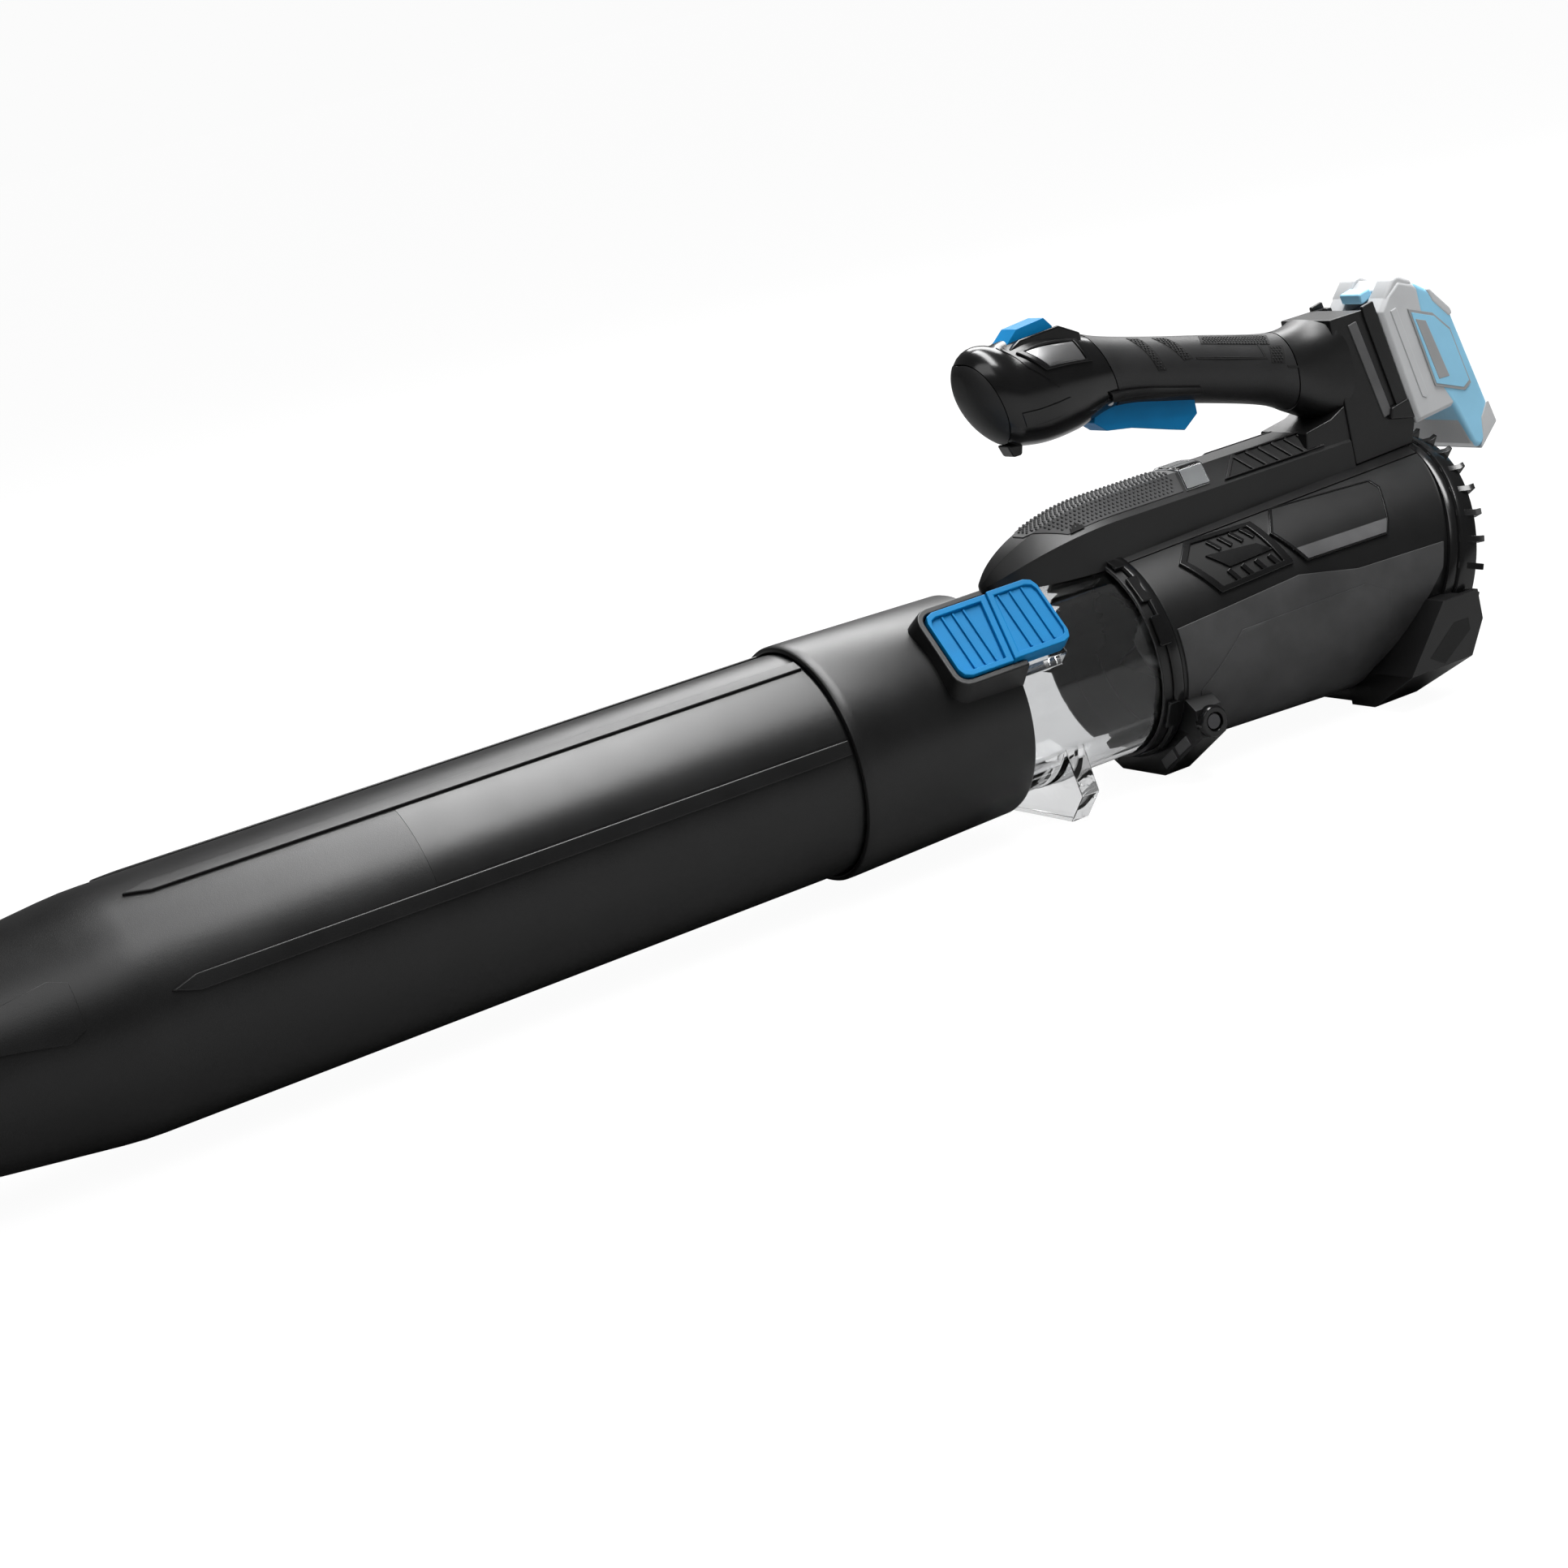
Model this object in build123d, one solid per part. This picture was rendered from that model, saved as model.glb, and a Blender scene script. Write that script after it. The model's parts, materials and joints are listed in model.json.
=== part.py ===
from build123d import *
import math
import os

# Battery leaf blower. Millimetres, built about the air axis, which runs along X.
# The nozzle points to -X, the battery sits at +X, and Z is up.
# x = 0 is the front edge of the sleeve. The finished pieces are moved together at the end,
# so that the origin is under the middle of the object, on the surface that it stands on.

# Air path
SLEEVE_RADIUS = 57.0
SLEEVE_REAR_RADIUS = 54.6
SLEEVE_LENGTH = 95.0
TUBE_RADIUS = 53.4
TUBE_FRONT_RADIUS = 55.4
TUBE_LENGTH = 355.0
TUBE_WALL = 2.2
TUBE_OVERLAP = 28.0
NOZZLE_LENGTH = 130.0
NOZZLE_RADIUS = 40.0
NOZZLE_TIP_LENGTH = 30.0
RIDGE_HEIGHT = 1.4
RIDGE_WIDTH = 7.0
RIDGE_ANGLES = (15.0, 68.0, 112.0, 165.0)
RIDGE_FRONT_GAP = 25.0
DUCT_RADIUS = 48.5
DUCT_WALL = 2.4
DUCT_FRONT_X = 40.0
DUCT_OVERLAP = 16.0
SLIDE_CLEARANCE = 0.4

# Latch rocker on the near upper side of the sleeve
LATCH_ANGLE = 42.0
LATCH_PIVOT_X = SLEEVE_LENGTH - 5.0
LATCH_FRONT_X = LATCH_PIVOT_X - 30.0
LATCH_REAR_X = LATCH_PIVOT_X + 31.0
LATCH_WIDTH = 38.0
LATCH_HEIGHT = 5.0
LATCH_LIFT = 1.9
LATCH_PIN_RADIUS = 1.5
LATCH_FRAME_WALL = 3.2
LATCH_FRAME_HEIGHT = 5.4
PIN_CLEARANCE = 0.05
MOVE_CLEARANCE = 0.5

# Saddle foot of the clear duct
SADDLE_X = 116.0
SADDLE_LENGTH = 10.0
SADDLE_HALF_WIDTH = 34.0
SADDLE_FLARE = 14.0

# Motor barrel
BARREL_FRONT_X = 183.0
BARREL_FRONT_RADIUS = 51.8
BARREL_REAR_RADIUS = 57.5
BARREL_WALL = 2.6
FLOOR_GAP = 4.5
AXIS_HEIGHT = max(BARREL_REAR_RADIUS, SLEEVE_RADIUS) + FLOOR_GAP
RAKE_X = 345.0
RAKE_ANGLE = 20.0
SEAM_HEIGHT = 46.0
SEAM_RISE = 6.0
SEAM_GAP = 0.3

# Intake guard
GUARD_RADIUS = 63.5
GUARD_INNER_RADIUS = 54.0
GUARD_DEPTH = 13.0
GUARD_LIFT = 4.0
GUARD_BAR = 2.4
GUARD_SPOKES = 16
GUARD_RINGS = 4
GUARD_FINS = 26
FIN_LENGTH = 9.0
FIN_HEIGHT = 3.0
FIN_THICKNESS = 2.0

# Feet
FOOT_FRONT_X = 300.0
FOOT_PAD_LENGTH = 27.0
FOOT_LENGTH = 49.0
FOOT_TOE = 36.0
FOOT_SPREAD = 70.0
FOOT_RISE = 18.0
FOOT_HEEL = 34.0
FOOT_HEIGHT = 49.0
FOOT_WING = 22.0
FOOT_ARCH = 2.0
LEG_THICKNESS = 15.0
LEG_TOE = 18.0
LEG_SPREAD = 55.0
LEG_RISE = 22.0
LEG_WALL = 14.0

# Side grilles and name plates, by angle above the side
PLATE_THICKNESS = 1.6
GRILLE_FRONT_X = 204.0
GRILLE_REAR_X = 260.0
GRILLE_LOW = 25.0
GRILLE_HIGH = 61.0
GRILLE_SLOTS = 6
GRILLE_SLOT_HEIGHT = 14.0
GRILLE_LEAN = 25.0
NAME_FRONT_X = 262.0
NAME_REAR_X = 328.0
NAME_LOW = 23.0
NAME_HIGH = 60.0

# Motor and fan
SHAFT_RADIUS = 4.0
SHAFT_STAND = 2.0
BEARING_RADIUS = 9.5
BEARING_WIDTH = 7.0
FAN_FRONT_X = 208.0
FAN_LENGTH = 22.0
FAN_HUB_RADIUS = 24.0
FAN_TIP_GAP = 1.4
FAN_BLADES = 9
BLADE_THICKNESS = 2.2
BLADE_PITCH = 40.0
BLADE_CHORD = 22.0
SPINNER_LENGTH = 16.0
POD_GAP = 4.0
POD_LENGTH = 64.0
POD_RADIUS = 25.0
POD_WALL = 2.0
POD_END = 9.0
VANES = 7
VANE_THICKNESS = 2.0
VANE_LENGTH = 26.0
STATOR_BORE = 12.5
ROTOR_RADIUS = 11.8
CONE_LENGTH = 30.0
CONE_TIP_RADIUS = 6.0

# Deck along the top, between the handle and the barrel
DECK_FRONT_X = 114.0
DECK_FRONT_Z = 52.0
DECK_REAR_X = 328.0
DECK_TOP = 77.0
DECK_EDGE = 66.0
DECK_HALF_WIDTH = 20.0
DECK_CREST_HALF_WIDTH = 9.0
DECK_WALL = 2.4
DECK_NOSE_LENGTH = 70.0
DECK_NOSE_SLOPE = 0.6
PAD_THICKNESS = 1.2
PAD_FRONT_X = 186.0
PAD_REAR_X = 226.0
LED_LENGTH = 18.0
LED_DEPTH = 2.0
VENT_SLOTS = 6
VENT_PITCH = 10.0
VENT_WIDTH = 6.0
BOARD_LENGTH = 60.0
BOARD_WIDTH = 26.0
BOARD_THICKNESS = 1.6
BOARD_Z = 63.0

# Handle stations: place along X, top height, bottom height, half width
HANDLE_STATIONS = (
    (127.0, 152.0, 141.0, 6.0),
    (134.0, 157.5, 125.0, 14.0),
    (147.0, 161.0, 112.0, 20.0),
    (164.0, 162.5, 109.5, 22.0),
    (182.0, 159.5, 110.5, 20.5),
    (205.0, 151.0, 115.0, 17.0),
    (235.0, 143.0, 109.5, 16.5),
    (265.0, 136.0, 102.0, 16.5),
    (296.0, 128.5, 92.5, 18.0),
    (310.0, 126.5, 85.0, 18.4),
    (328.0, 129.0, 77.5, 20.4),
)
HANDLE_WALL = 4.0
GRIP_SKIN = 1.8
GRIP_FRONT_X = 206.0
GRIP_REAR_X = 296.0
BUMPER_X = 137.0

# Trigger and top lever
TRIGGER_FRONT_X = 190.5
TRIGGER_REAR_X = 250.0
TRIGGER_HALF_WIDTH = 7.5
TRIGGER_NOSE_Z = 112.0
TRIGGER_TAIL_TOP = 113.0
TRIGGER_TAIL_BOTTOM = 101.0
TRIGGER_TOE_LENGTH = 9.0
TRIGGER_TOE_Z = 95.0
TRIGGER_WAIST = (212.0, 104.0)
TRIGGER_CHIN = (197.0, 106.5)
TRIGGER_PIN_X = 199.0
TRIGGER_PIN_Z = 120.5
TRIGGER_PIN_RADIUS = 2.0
TRIGGER_PIN_LENGTH = 24.0
TRIGGER_SLOT_GAP = 0.6
TRIGGER_REAR_GAP = 4.0
SWITCH_FRONT_X = 214.0
SWITCH_LENGTH = 26.0
SWITCH_BOTTOM = 126.5
SWITCH_HEIGHT = 5.5
SPRING_X = 222.0
SPRING_RADIUS = 2.6
SPRING_WIRE = 0.4
SPRING_TURNS = 4
SPRING_BOTTOM = 121.2
LEVER_FRONT_X = 151.0
LEVER_REAR_X = 179.0
LEVER_TOP = 167.5
LEVER_BOTTOM = 147.0
LEVER_HALF_WIDTH = 6.5
LEVER_SLOPE_LENGTH = 8.0
LEVER_SLOPE_TOP = 1.5
LEVER_HEEL_LENGTH = 4.0
LEVER_HEEL_DROP = 5.0
LEVER_STEM = 5.0
LEVER_PIN_X = 165.0
LEVER_PIN_Z = 152.0
LEVER_PIN_RADIUS = 1.5
LEVER_PIN_LENGTH = 30.0
LEVER_SLOT_GAP = 2.6

# Battery and its dock, measured on the tilted dock face
BATTERY_TILT = 11.0
DOCK_X = 363.0
DOCK_Z = 95.0
DOCK_FRONT_X = 328.5
DOCK_TOP = 127.0
DOCK_BASE = 40.0
DOCK_HALF_WIDTH = 20.0
DOCK_POCKET_LOW = 28.0
DOCK_WALL = 4.0
TONGUE_HEAD_WIDTH = 34.0
TONGUE_NECK_WIDTH = 27.0
TONGUE_HIGH = 28.0
TONGUE_DEPTH = 7.0
LIP_DEPTH = 3.4
BATTERY_GAP = 0.4
BATTERY_WIDTH = 44.0
BATTERY_WALL = 2.4
BATTERY_CORNER = 4.0
# Side outline of the battery: along the slide, and out from the dock face
BATTERY_OUTLINE = (
    (-31.5, 0.4),
    (29.0, 0.4),
    (35.0, 8.0),
    (39.0, 17.0),
    (34.0, 25.0),
    (26.0, 32.5),
    (12.0, 40.5),
    (-51.5, 44.6),
    (-60.0, 31.0),
    (-56.0, 27.0),
    (-33.5, 24.0),
)
CELL_RADIUS = 9.1
CELL_LENGTH = 35.0
# Places of the cells: along the slide, and out from the dock face
CELL_PLACES = ((-19.5, 12.3), (-0.5, 12.3), (18.5, 12.3), (-10.0, 28.8), (8.5, 28.8))
TERMINALS = 4
TERMINAL_PITCH = 7.0
TERMINAL_THICKNESS = 0.8
TERMINAL_LENGTH = 20.0
BUTTON_WIDTH = 16.0
BUTTON_THICKNESS = 8.0
BUTTON_BACK = 2.0
BUTTON_HIGH = 38.0
BUTTON_HEIGHT = 5.5
BUTTON_DEPTH = 8.0

# Fasteners
SCREW_RADIUS = 2.0
SCREW_HEAD_RADIUS = 3.6
SCREW_HEAD = 2.4
SCREW_LENGTH = 9.0

nodes = {}


def revolved(points):
    """Turn a closed outline of (x, radius) points about the air axis."""
    return revolve(Plane.XZ * Polygon(*points, align=None), Axis.X, 360)


def pipe(x0, x1, outer0, outer1, wall):
    """A round tube about the air axis whose outer radius goes from outer0 to outer1."""
    return revolved([(x0, outer0 - wall), (x0, outer0), (x1, outer1), (x1, outer1 - wall)])


def rod(x0, x1, radius):
    """A solid round bar on the air axis."""
    return revolved([(x0, 0), (x0, radius), (x1, radius), (x1, 0)])


def side_plate(points, half_width):
    """An outline of (x, z) points given the same width to both sides."""
    return extrude(Plane.XZ * Polygon(*points, align=None), half_width, both=True)


def cross_plate(points, x0, length):
    """An outline of (y, z) points run along X."""
    return extrude(Plane.YZ.offset(x0) * Polygon(*points, align=None), length, dir=(1, 0, 0))


def cross_pin(x, z, radius, length):
    """A round pin across the object, centred on the middle plane."""
    return extrude(Plane.XZ * Pos(x, z) * Circle(radius), length / 2, both=True)


def keep_side(shape, side):
    """The half of a shape on one side of the middle plane, short of it by half a seam."""
    reach = 400.0
    low = SEAM_GAP / 2
    return shape & (Pos(0, side * (low + reach / 2), 0) * Box(4 * reach, reach, 2 * reach))


def screw(plane):
    """A pan head screw that goes down from the plane's origin."""
    head = plane * extrude(Circle(SCREW_HEAD_RADIUS), SCREW_HEAD)
    shank = plane * extrude(Circle(SCREW_RADIUS), -SCREW_LENGTH)
    return head + shank


def coil(radius, wire, turns, length):
    """A round wire wound into a spring along Z."""
    pitch = length / turns
    path = Helix(pitch=pitch, height=length, radius=radius)
    start = Plane(origin=path @ 0, z_dir=path % 0)
    return sweep(start * Circle(wire), path=path)


def at_angle(degrees, radius):
    """The (y, z) place at an angle above the -Y side, seen along the air axis."""
    turn = math.radians(degrees)
    return (-radius * math.cos(turn), radius * math.sin(turn))


def barrel_radius(x):
    """Outer radius of the motor barrel at a station along the air axis."""
    share = (x - BARREL_FRONT_X) / (RAKE_X - BARREL_FRONT_X)
    return BARREL_FRONT_RADIUS + share * (BARREL_REAR_RADIUS - BARREL_FRONT_RADIUS)


def barrel_body(x0, x1, grow):
    """Solid cone as large as the motor barrel, grown by a gap."""
    return revolved([(x0, 0), (x0, barrel_radius(x0) + grow), (x1, barrel_radius(x1) + grow), (x1, 0)])


def barrel_patch(x0, x1, low, high, thickness):
    """A curved plate that stands on the barrel between two angles above the -Y side."""
    reach = 2 * BARREL_REAR_RADIUS
    inside = barrel_radius(x0) + SEAM_GAP / 2
    growth = barrel_radius(x1) - barrel_radius(x0)
    shell = pipe(x0, x1, inside + thickness, inside + thickness + growth, thickness)
    wedge = [(0, 0), at_angle(low, reach), at_angle((low + high) / 2, reach), at_angle(high, reach)]
    return shell & cross_plate(wedge, x0, x1 - x0)


# Front tube with its nozzle, in one piece
tube_front_x = -TUBE_LENGTH
nozzle_end_x = tube_front_x - NOZZLE_LENGTH
tip_x = nozzle_end_x - NOZZLE_TIP_LENGTH
tube_outline = [
    (TUBE_OVERLAP, TUBE_RADIUS),
    (0, TUBE_RADIUS),
    (tube_front_x, TUBE_FRONT_RADIUS),
    (nozzle_end_x, NOZZLE_RADIUS),
    (tip_x, NOZZLE_RADIUS),
]
tube_inside = [(x, r - TUBE_WALL) for x, r in reversed(tube_outline)]
front_tube = revolved(tube_outline + tube_inside)
ridge_length = TUBE_LENGTH - RIDGE_FRONT_GAP - MOVE_CLEARANCE
ridge_x = -MOVE_CLEARANCE - ridge_length / 2
ridge_lean = math.degrees(math.atan2(TUBE_FRONT_RADIUS - TUBE_RADIUS, TUBE_LENGTH))
tube_middle_radius = TUBE_RADIUS - ridge_x / TUBE_LENGTH * (TUBE_FRONT_RADIUS - TUBE_RADIUS)
ridge_radius = tube_middle_radius + (RIDGE_HEIGHT - TUBE_WALL) / 2
for angle in RIDGE_ANGLES:
    ridge = Box(ridge_length, RIDGE_WIDTH, TUBE_WALL + RIDGE_HEIGHT)
    front_tube += Rot(X=90 - angle) * Pos(ridge_x, 0, ridge_radius) * Rot(Y=ridge_lean) * ridge
nodes["front_tube"] = front_tube

# Sleeve that grips the tube in front and slides over the clear duct behind
sleeve_step_x = TUBE_OVERLAP + MOVE_CLEARANCE
sleeve_bore = DUCT_RADIUS + SLIDE_CLEARANCE
sleeve = revolved([
    (0, TUBE_RADIUS + SLIDE_CLEARANCE),
    (0, SLEEVE_RADIUS),
    (SLEEVE_LENGTH, SLEEVE_REAR_RADIUS),
    (SLEEVE_LENGTH, sleeve_bore),
    (sleeve_step_x, sleeve_bore),
    (sleeve_step_x, TUBE_RADIUS + SLIDE_CLEARANCE),
])
latch_turn = Rot(X=90 - LATCH_ANGLE)
latch_bottom = SLEEVE_RADIUS + MOVE_CLEARANCE
latch_middle_x = (LATCH_FRONT_X + LATCH_REAR_X) / 2
frame_front_x = LATCH_FRONT_X - MOVE_CLEARANCE - LATCH_FRAME_WALL
frame_length = SLEEVE_LENGTH - frame_front_x
frame_width = LATCH_WIDTH + 2 * (MOVE_CLEARANCE + LATCH_FRAME_WALL)
frame_top = SLEEVE_RADIUS + LATCH_FRAME_HEIGHT
frame = Pos(frame_front_x + frame_length / 2, 0, frame_top / 2) * Box(frame_length, frame_width, frame_top)
pocket_length = LATCH_REAR_X - LATCH_FRONT_X + 2 * MOVE_CLEARANCE
pocket_bottom = SLEEVE_RADIUS - LATCH_LIFT
pocket_height = 2 * LATCH_HEIGHT + LATCH_LIFT
pocket = Pos(latch_middle_x, 0, pocket_bottom + pocket_height / 2) * Box(
    pocket_length, LATCH_WIDTH + 2 * MOVE_CLEARANCE, pocket_height
)
latch_pin_z = latch_bottom + LATCH_HEIGHT / 2
latch_pin_length = frame_width - LATCH_FRAME_WALL
pin_hole = Pos(LATCH_PIVOT_X, 0, latch_pin_z) * Rot(X=90) * Cylinder(
    LATCH_PIN_RADIUS + PIN_CLEARANCE, latch_pin_length + 2 * PIN_CLEARANCE
)
sleeve += latch_turn * frame
sleeve -= latch_turn * (pocket + pin_hole)
sleeve -= rod(sleeve_step_x, SLEEVE_LENGTH, sleeve_bore)
nodes["rear_sleeve"] = sleeve

rocker = Pos(latch_middle_x, 0, latch_bottom + LATCH_HEIGHT / 2) * Box(
    LATCH_REAR_X - LATCH_FRONT_X, LATCH_WIDTH, LATCH_HEIGHT
)
rocker = fillet(rocker.edges().filter_by(Axis.Z), LATCH_HEIGHT)
nodes["latch_rocker"] = latch_turn * (rocker - pin_hole)
nodes["latch_pin"] = latch_turn * Pos(LATCH_PIVOT_X, 0, latch_pin_z) * Rot(X=90) * Cylinder(
    LATCH_PIN_RADIUS, latch_pin_length
)

# Clear duct with the latch pedestal on top and a flat saddle foot below
duct_rear_x = BARREL_FRONT_X + DUCT_OVERLAP
duct = pipe(DUCT_FRONT_X, duct_rear_x, DUCT_RADIUS, DUCT_RADIUS, DUCT_WALL)
pedestal_top = pocket_bottom - MOVE_CLEARANCE
pedestal_front_x = SLEEVE_LENGTH + MOVE_CLEARANCE
pedestal_length = LATCH_REAR_X - pedestal_front_x
pedestal = Pos(pedestal_front_x + pedestal_length / 2, 0, pedestal_top / 2) * Box(
    pedestal_length, LATCH_WIDTH, pedestal_top
)
saddle = cross_plate(
    [
        (-SADDLE_HALF_WIDTH, -AXIS_HEIGHT),
        (-SADDLE_HALF_WIDTH - SADDLE_FLARE, -AXIS_HEIGHT + SADDLE_FLARE),
        (-SADDLE_HALF_WIDTH, 0),
        (SADDLE_HALF_WIDTH, 0),
        (SADDLE_HALF_WIDTH + SADDLE_FLARE, -AXIS_HEIGHT + SADDLE_FLARE),
        (SADDLE_HALF_WIDTH, -AXIS_HEIGHT),
    ],
    SADDLE_X,
    SADDLE_LENGTH,
)
duct = duct + latch_turn * pedestal + saddle
duct -= rod(DUCT_FRONT_X, duct_rear_x, DUCT_RADIUS - DUCT_WALL)
nodes["clear_duct"] = duct

# Motor barrel: one upper shell and two lower halves, ended by a raked plane
rake = Plane(
    origin=(RAKE_X, 0, 0),
    x_dir=(0, 1, 0),
    z_dir=(math.cos(math.radians(RAKE_ANGLE)), 0, -math.sin(math.radians(RAKE_ANGLE))),
)
barrel_end_x = RAKE_X + 2 * BARREL_REAR_RADIUS * math.tan(math.radians(RAKE_ANGLE))
behind = rake * extrude(Rectangle(4 * GUARD_RADIUS, 4 * GUARD_RADIUS), 4 * GUARD_RADIUS)
barrel = barrel_body(BARREL_FRONT_X, barrel_end_x, 0)
barrel -= barrel_body(BARREL_FRONT_X, barrel_end_x, -BARREL_WALL)
barrel -= behind
seam_rear_height = SEAM_HEIGHT + SEAM_RISE
above_seam = side_plate(
    [
        (BARREL_FRONT_X, SEAM_HEIGHT),
        (barrel_end_x, seam_rear_height),
        (barrel_end_x, 2 * GUARD_RADIUS),
        (BARREL_FRONT_X, 2 * GUARD_RADIUS),
    ],
    2 * GUARD_RADIUS,
)
nodes["upper_shell"] = barrel & above_seam
lower_barrel = barrel - Pos(0, 0, -SEAM_GAP) * above_seam
nodes["lower_shell_left"] = keep_side(lower_barrel, -1)
nodes["lower_shell_right"] = keep_side(lower_barrel, 1)

# Intake guard: rim, rings, spokes and outer fins, all on the raked plane
guard = rake * extrude(Circle(GUARD_RADIUS) - Circle(GUARD_INNER_RADIUS), GUARD_DEPTH)
ring_pitch = GUARD_INNER_RADIUS / (GUARD_RINGS + 1)
grille = Sketch() + Circle(ring_pitch / 2)
for ring in range(1, GUARD_RINGS + 1):
    grille += Circle(ring * ring_pitch + GUARD_BAR / 2) - Circle(ring * ring_pitch - GUARD_BAR / 2)
spoke_length = GUARD_INNER_RADIUS - ring_pitch / 4
for spoke in range(GUARD_SPOKES):
    turn = Rot(Z=spoke * 360 / GUARD_SPOKES)
    grille += turn * Pos(ring_pitch / 4 + spoke_length / 2, 0) * Rectangle(spoke_length, GUARD_BAR)
guard += rake.offset(GUARD_DEPTH - GUARD_BAR) * extrude(grille, GUARD_BAR)
fin_place = Pos(GUARD_RADIUS, 0, GUARD_DEPTH - FIN_LENGTH / 2)
fin_box = fin_place * Box(2 * FIN_HEIGHT, FIN_THICKNESS, FIN_LENGTH)
guard += [rake * (Rot(Z=fin * 360 / GUARD_FINS) * fin_box) for fin in range(GUARD_FINS)]
floor = -AXIS_HEIGHT
under_guard = Box(4 * GUARD_RADIUS, 4 * GUARD_RADIUS, 2 * GUARD_RADIUS)
guard -= Pos(RAKE_X, 0, floor + GUARD_LIFT - GUARD_RADIUS) * under_guard
nodes["rear_guard"] = guard

# Rear foot under the barrel and front foot under its front edge
foot_rear_x = FOOT_FRONT_X + FOOT_LENGTH
foot_top = floor + FOOT_HEIGHT
rear_foot = cross_plate(
    [
        (-FOOT_TOE, floor),
        (-FOOT_SPREAD, floor + FOOT_RISE),
        (-FOOT_SPREAD, foot_top),
        (FOOT_SPREAD, foot_top),
        (FOOT_SPREAD, floor + FOOT_RISE),
        (FOOT_TOE, floor),
    ],
    FOOT_FRONT_X,
    FOOT_LENGTH,
)
rear_foot &= side_plate(
    [
        (FOOT_FRONT_X, floor),
        (FOOT_FRONT_X + FOOT_PAD_LENGTH, floor),
        (foot_rear_x, floor + FOOT_HEEL),
        (foot_rear_x, foot_top),
        (foot_rear_x - FOOT_WING, foot_top),
        (FOOT_FRONT_X, floor + FOOT_RISE),
    ],
    2 * FOOT_SPREAD,
)
guard_clear = GUARD_RADIUS + FIN_HEIGHT + MOVE_CLEARANCE
rear_foot -= barrel_body(BARREL_FRONT_X, barrel_end_x, SEAM_GAP)
rear_foot -= rake * extrude(Circle(guard_clear), GUARD_RADIUS)
rear_foot -= Pos(foot_rear_x, 0, floor) * Box(2 * FOOT_LENGTH, FOOT_TOE, 2 * FOOT_ARCH)
nodes["rear_foot"] = rear_foot

front_foot = cross_plate(
    [
        (-LEG_TOE, floor),
        (-LEG_SPREAD, floor + LEG_RISE),
        (-LEG_SPREAD, floor + LEG_RISE + LEG_WALL),
        (-LEG_SPREAD + LEG_WALL, floor / 4),
        (LEG_SPREAD - LEG_WALL, floor / 4),
        (LEG_SPREAD, floor + LEG_RISE + LEG_WALL),
        (LEG_SPREAD, floor + LEG_RISE),
        (LEG_TOE, floor),
    ],
    BARREL_FRONT_X,
    LEG_THICKNESS,
)
front_foot -= barrel_body(BARREL_FRONT_X, barrel_end_x, SEAM_GAP)
foot_screw_x = BARREL_FRONT_X + LEG_THICKNESS / 2
foot_screw_z = floor + LEG_RISE + LEG_WALL / 2
screws = []
for side in (-1, 1):
    screw_place = Plane(origin=(foot_screw_x, side * LEG_SPREAD, foot_screw_z), z_dir=(0, side, 0))
    hole = screw_place * extrude(Circle(SCREW_RADIUS + PIN_CLEARANCE), -SCREW_LENGTH - PIN_CLEARANCE)
    front_foot -= hole
    screws.append(screw(screw_place))
nodes["front_foot"] = front_foot
nodes["foot_screws"] = Compound(children=screws)

# Side grilles and bare name plates that stand on the barrel, one on each side
for side, name in ((1, "left"), (-1, "right")):
    grille_plate = barrel_patch(GRILLE_FRONT_X, GRILLE_REAR_X, GRILLE_LOW, GRILLE_HIGH, PLATE_THICKNESS)
    slot_pitch = (GRILLE_REAR_X - GRILLE_FRONT_X) / (GRILLE_SLOTS + 1)
    for slot in range(1, GRILLE_SLOTS + 1):
        slot_x = GRILLE_FRONT_X + slot * slot_pitch
        slot_box = Box(slot_pitch / 2, 4 * BARREL_REAR_RADIUS, GRILLE_SLOT_HEIGHT)
        slot_z = barrel_radius(slot_x) * math.sin(math.radians((GRILLE_LOW + GRILLE_HIGH) / 2))
        grille_plate -= Pos(slot_x, 0, slot_z) * Rot(Y=GRILLE_LEAN) * slot_box
    name_plate = barrel_patch(NAME_FRONT_X, NAME_REAR_X, NAME_LOW, NAME_HIGH, PLATE_THICKNESS)
    if side < 0:
        grille_plate = mirror(grille_plate, Plane.XZ)
        name_plate = mirror(name_plate, Plane.XZ)
    nodes["side_grille_" + name] = grille_plate
    nodes["name_plate_" + name] = name_plate

# Fan, shaft and rotor, which turn together, and the motor pod right behind the fan
fan_rear_x = FAN_FRONT_X + FAN_LENGTH
pod_front_x = fan_rear_x + POD_GAP
pod_rear_x = pod_front_x + POD_LENGTH
shaft_front_x = FAN_FRONT_X - SHAFT_STAND
shaft_rear_x = pod_rear_x + SHAFT_STAND
fan_tip = barrel_radius(FAN_FRONT_X) - BARREL_WALL - FAN_TIP_GAP
fan = rod(FAN_FRONT_X, fan_rear_x, FAN_HUB_RADIUS)
fan += revolved([(FAN_FRONT_X - SPINNER_LENGTH, 0), (FAN_FRONT_X, FAN_HUB_RADIUS), (FAN_FRONT_X, 0)])
blade_root = FAN_HUB_RADIUS - BLADE_THICKNESS
blade = Pos(0, 0, (fan_tip + blade_root) / 2) * Rot(Z=BLADE_PITCH) * Box(
    BLADE_CHORD, BLADE_THICKNESS, fan_tip - blade_root
)
blade = Pos((FAN_FRONT_X + fan_rear_x) / 2, 0, 0) * blade
fan += [Rot(X=turn * 360 / FAN_BLADES) * blade for turn in range(FAN_BLADES)]
fan &= rod(FAN_FRONT_X - SPINNER_LENGTH, fan_rear_x, fan_tip)
fan -= rod(shaft_front_x, fan_rear_x, SHAFT_RADIUS + PIN_CLEARANCE)
nodes["fan_impeller"] = fan
nodes["motor_shaft"] = rod(shaft_front_x, shaft_rear_x, SHAFT_RADIUS)

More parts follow.
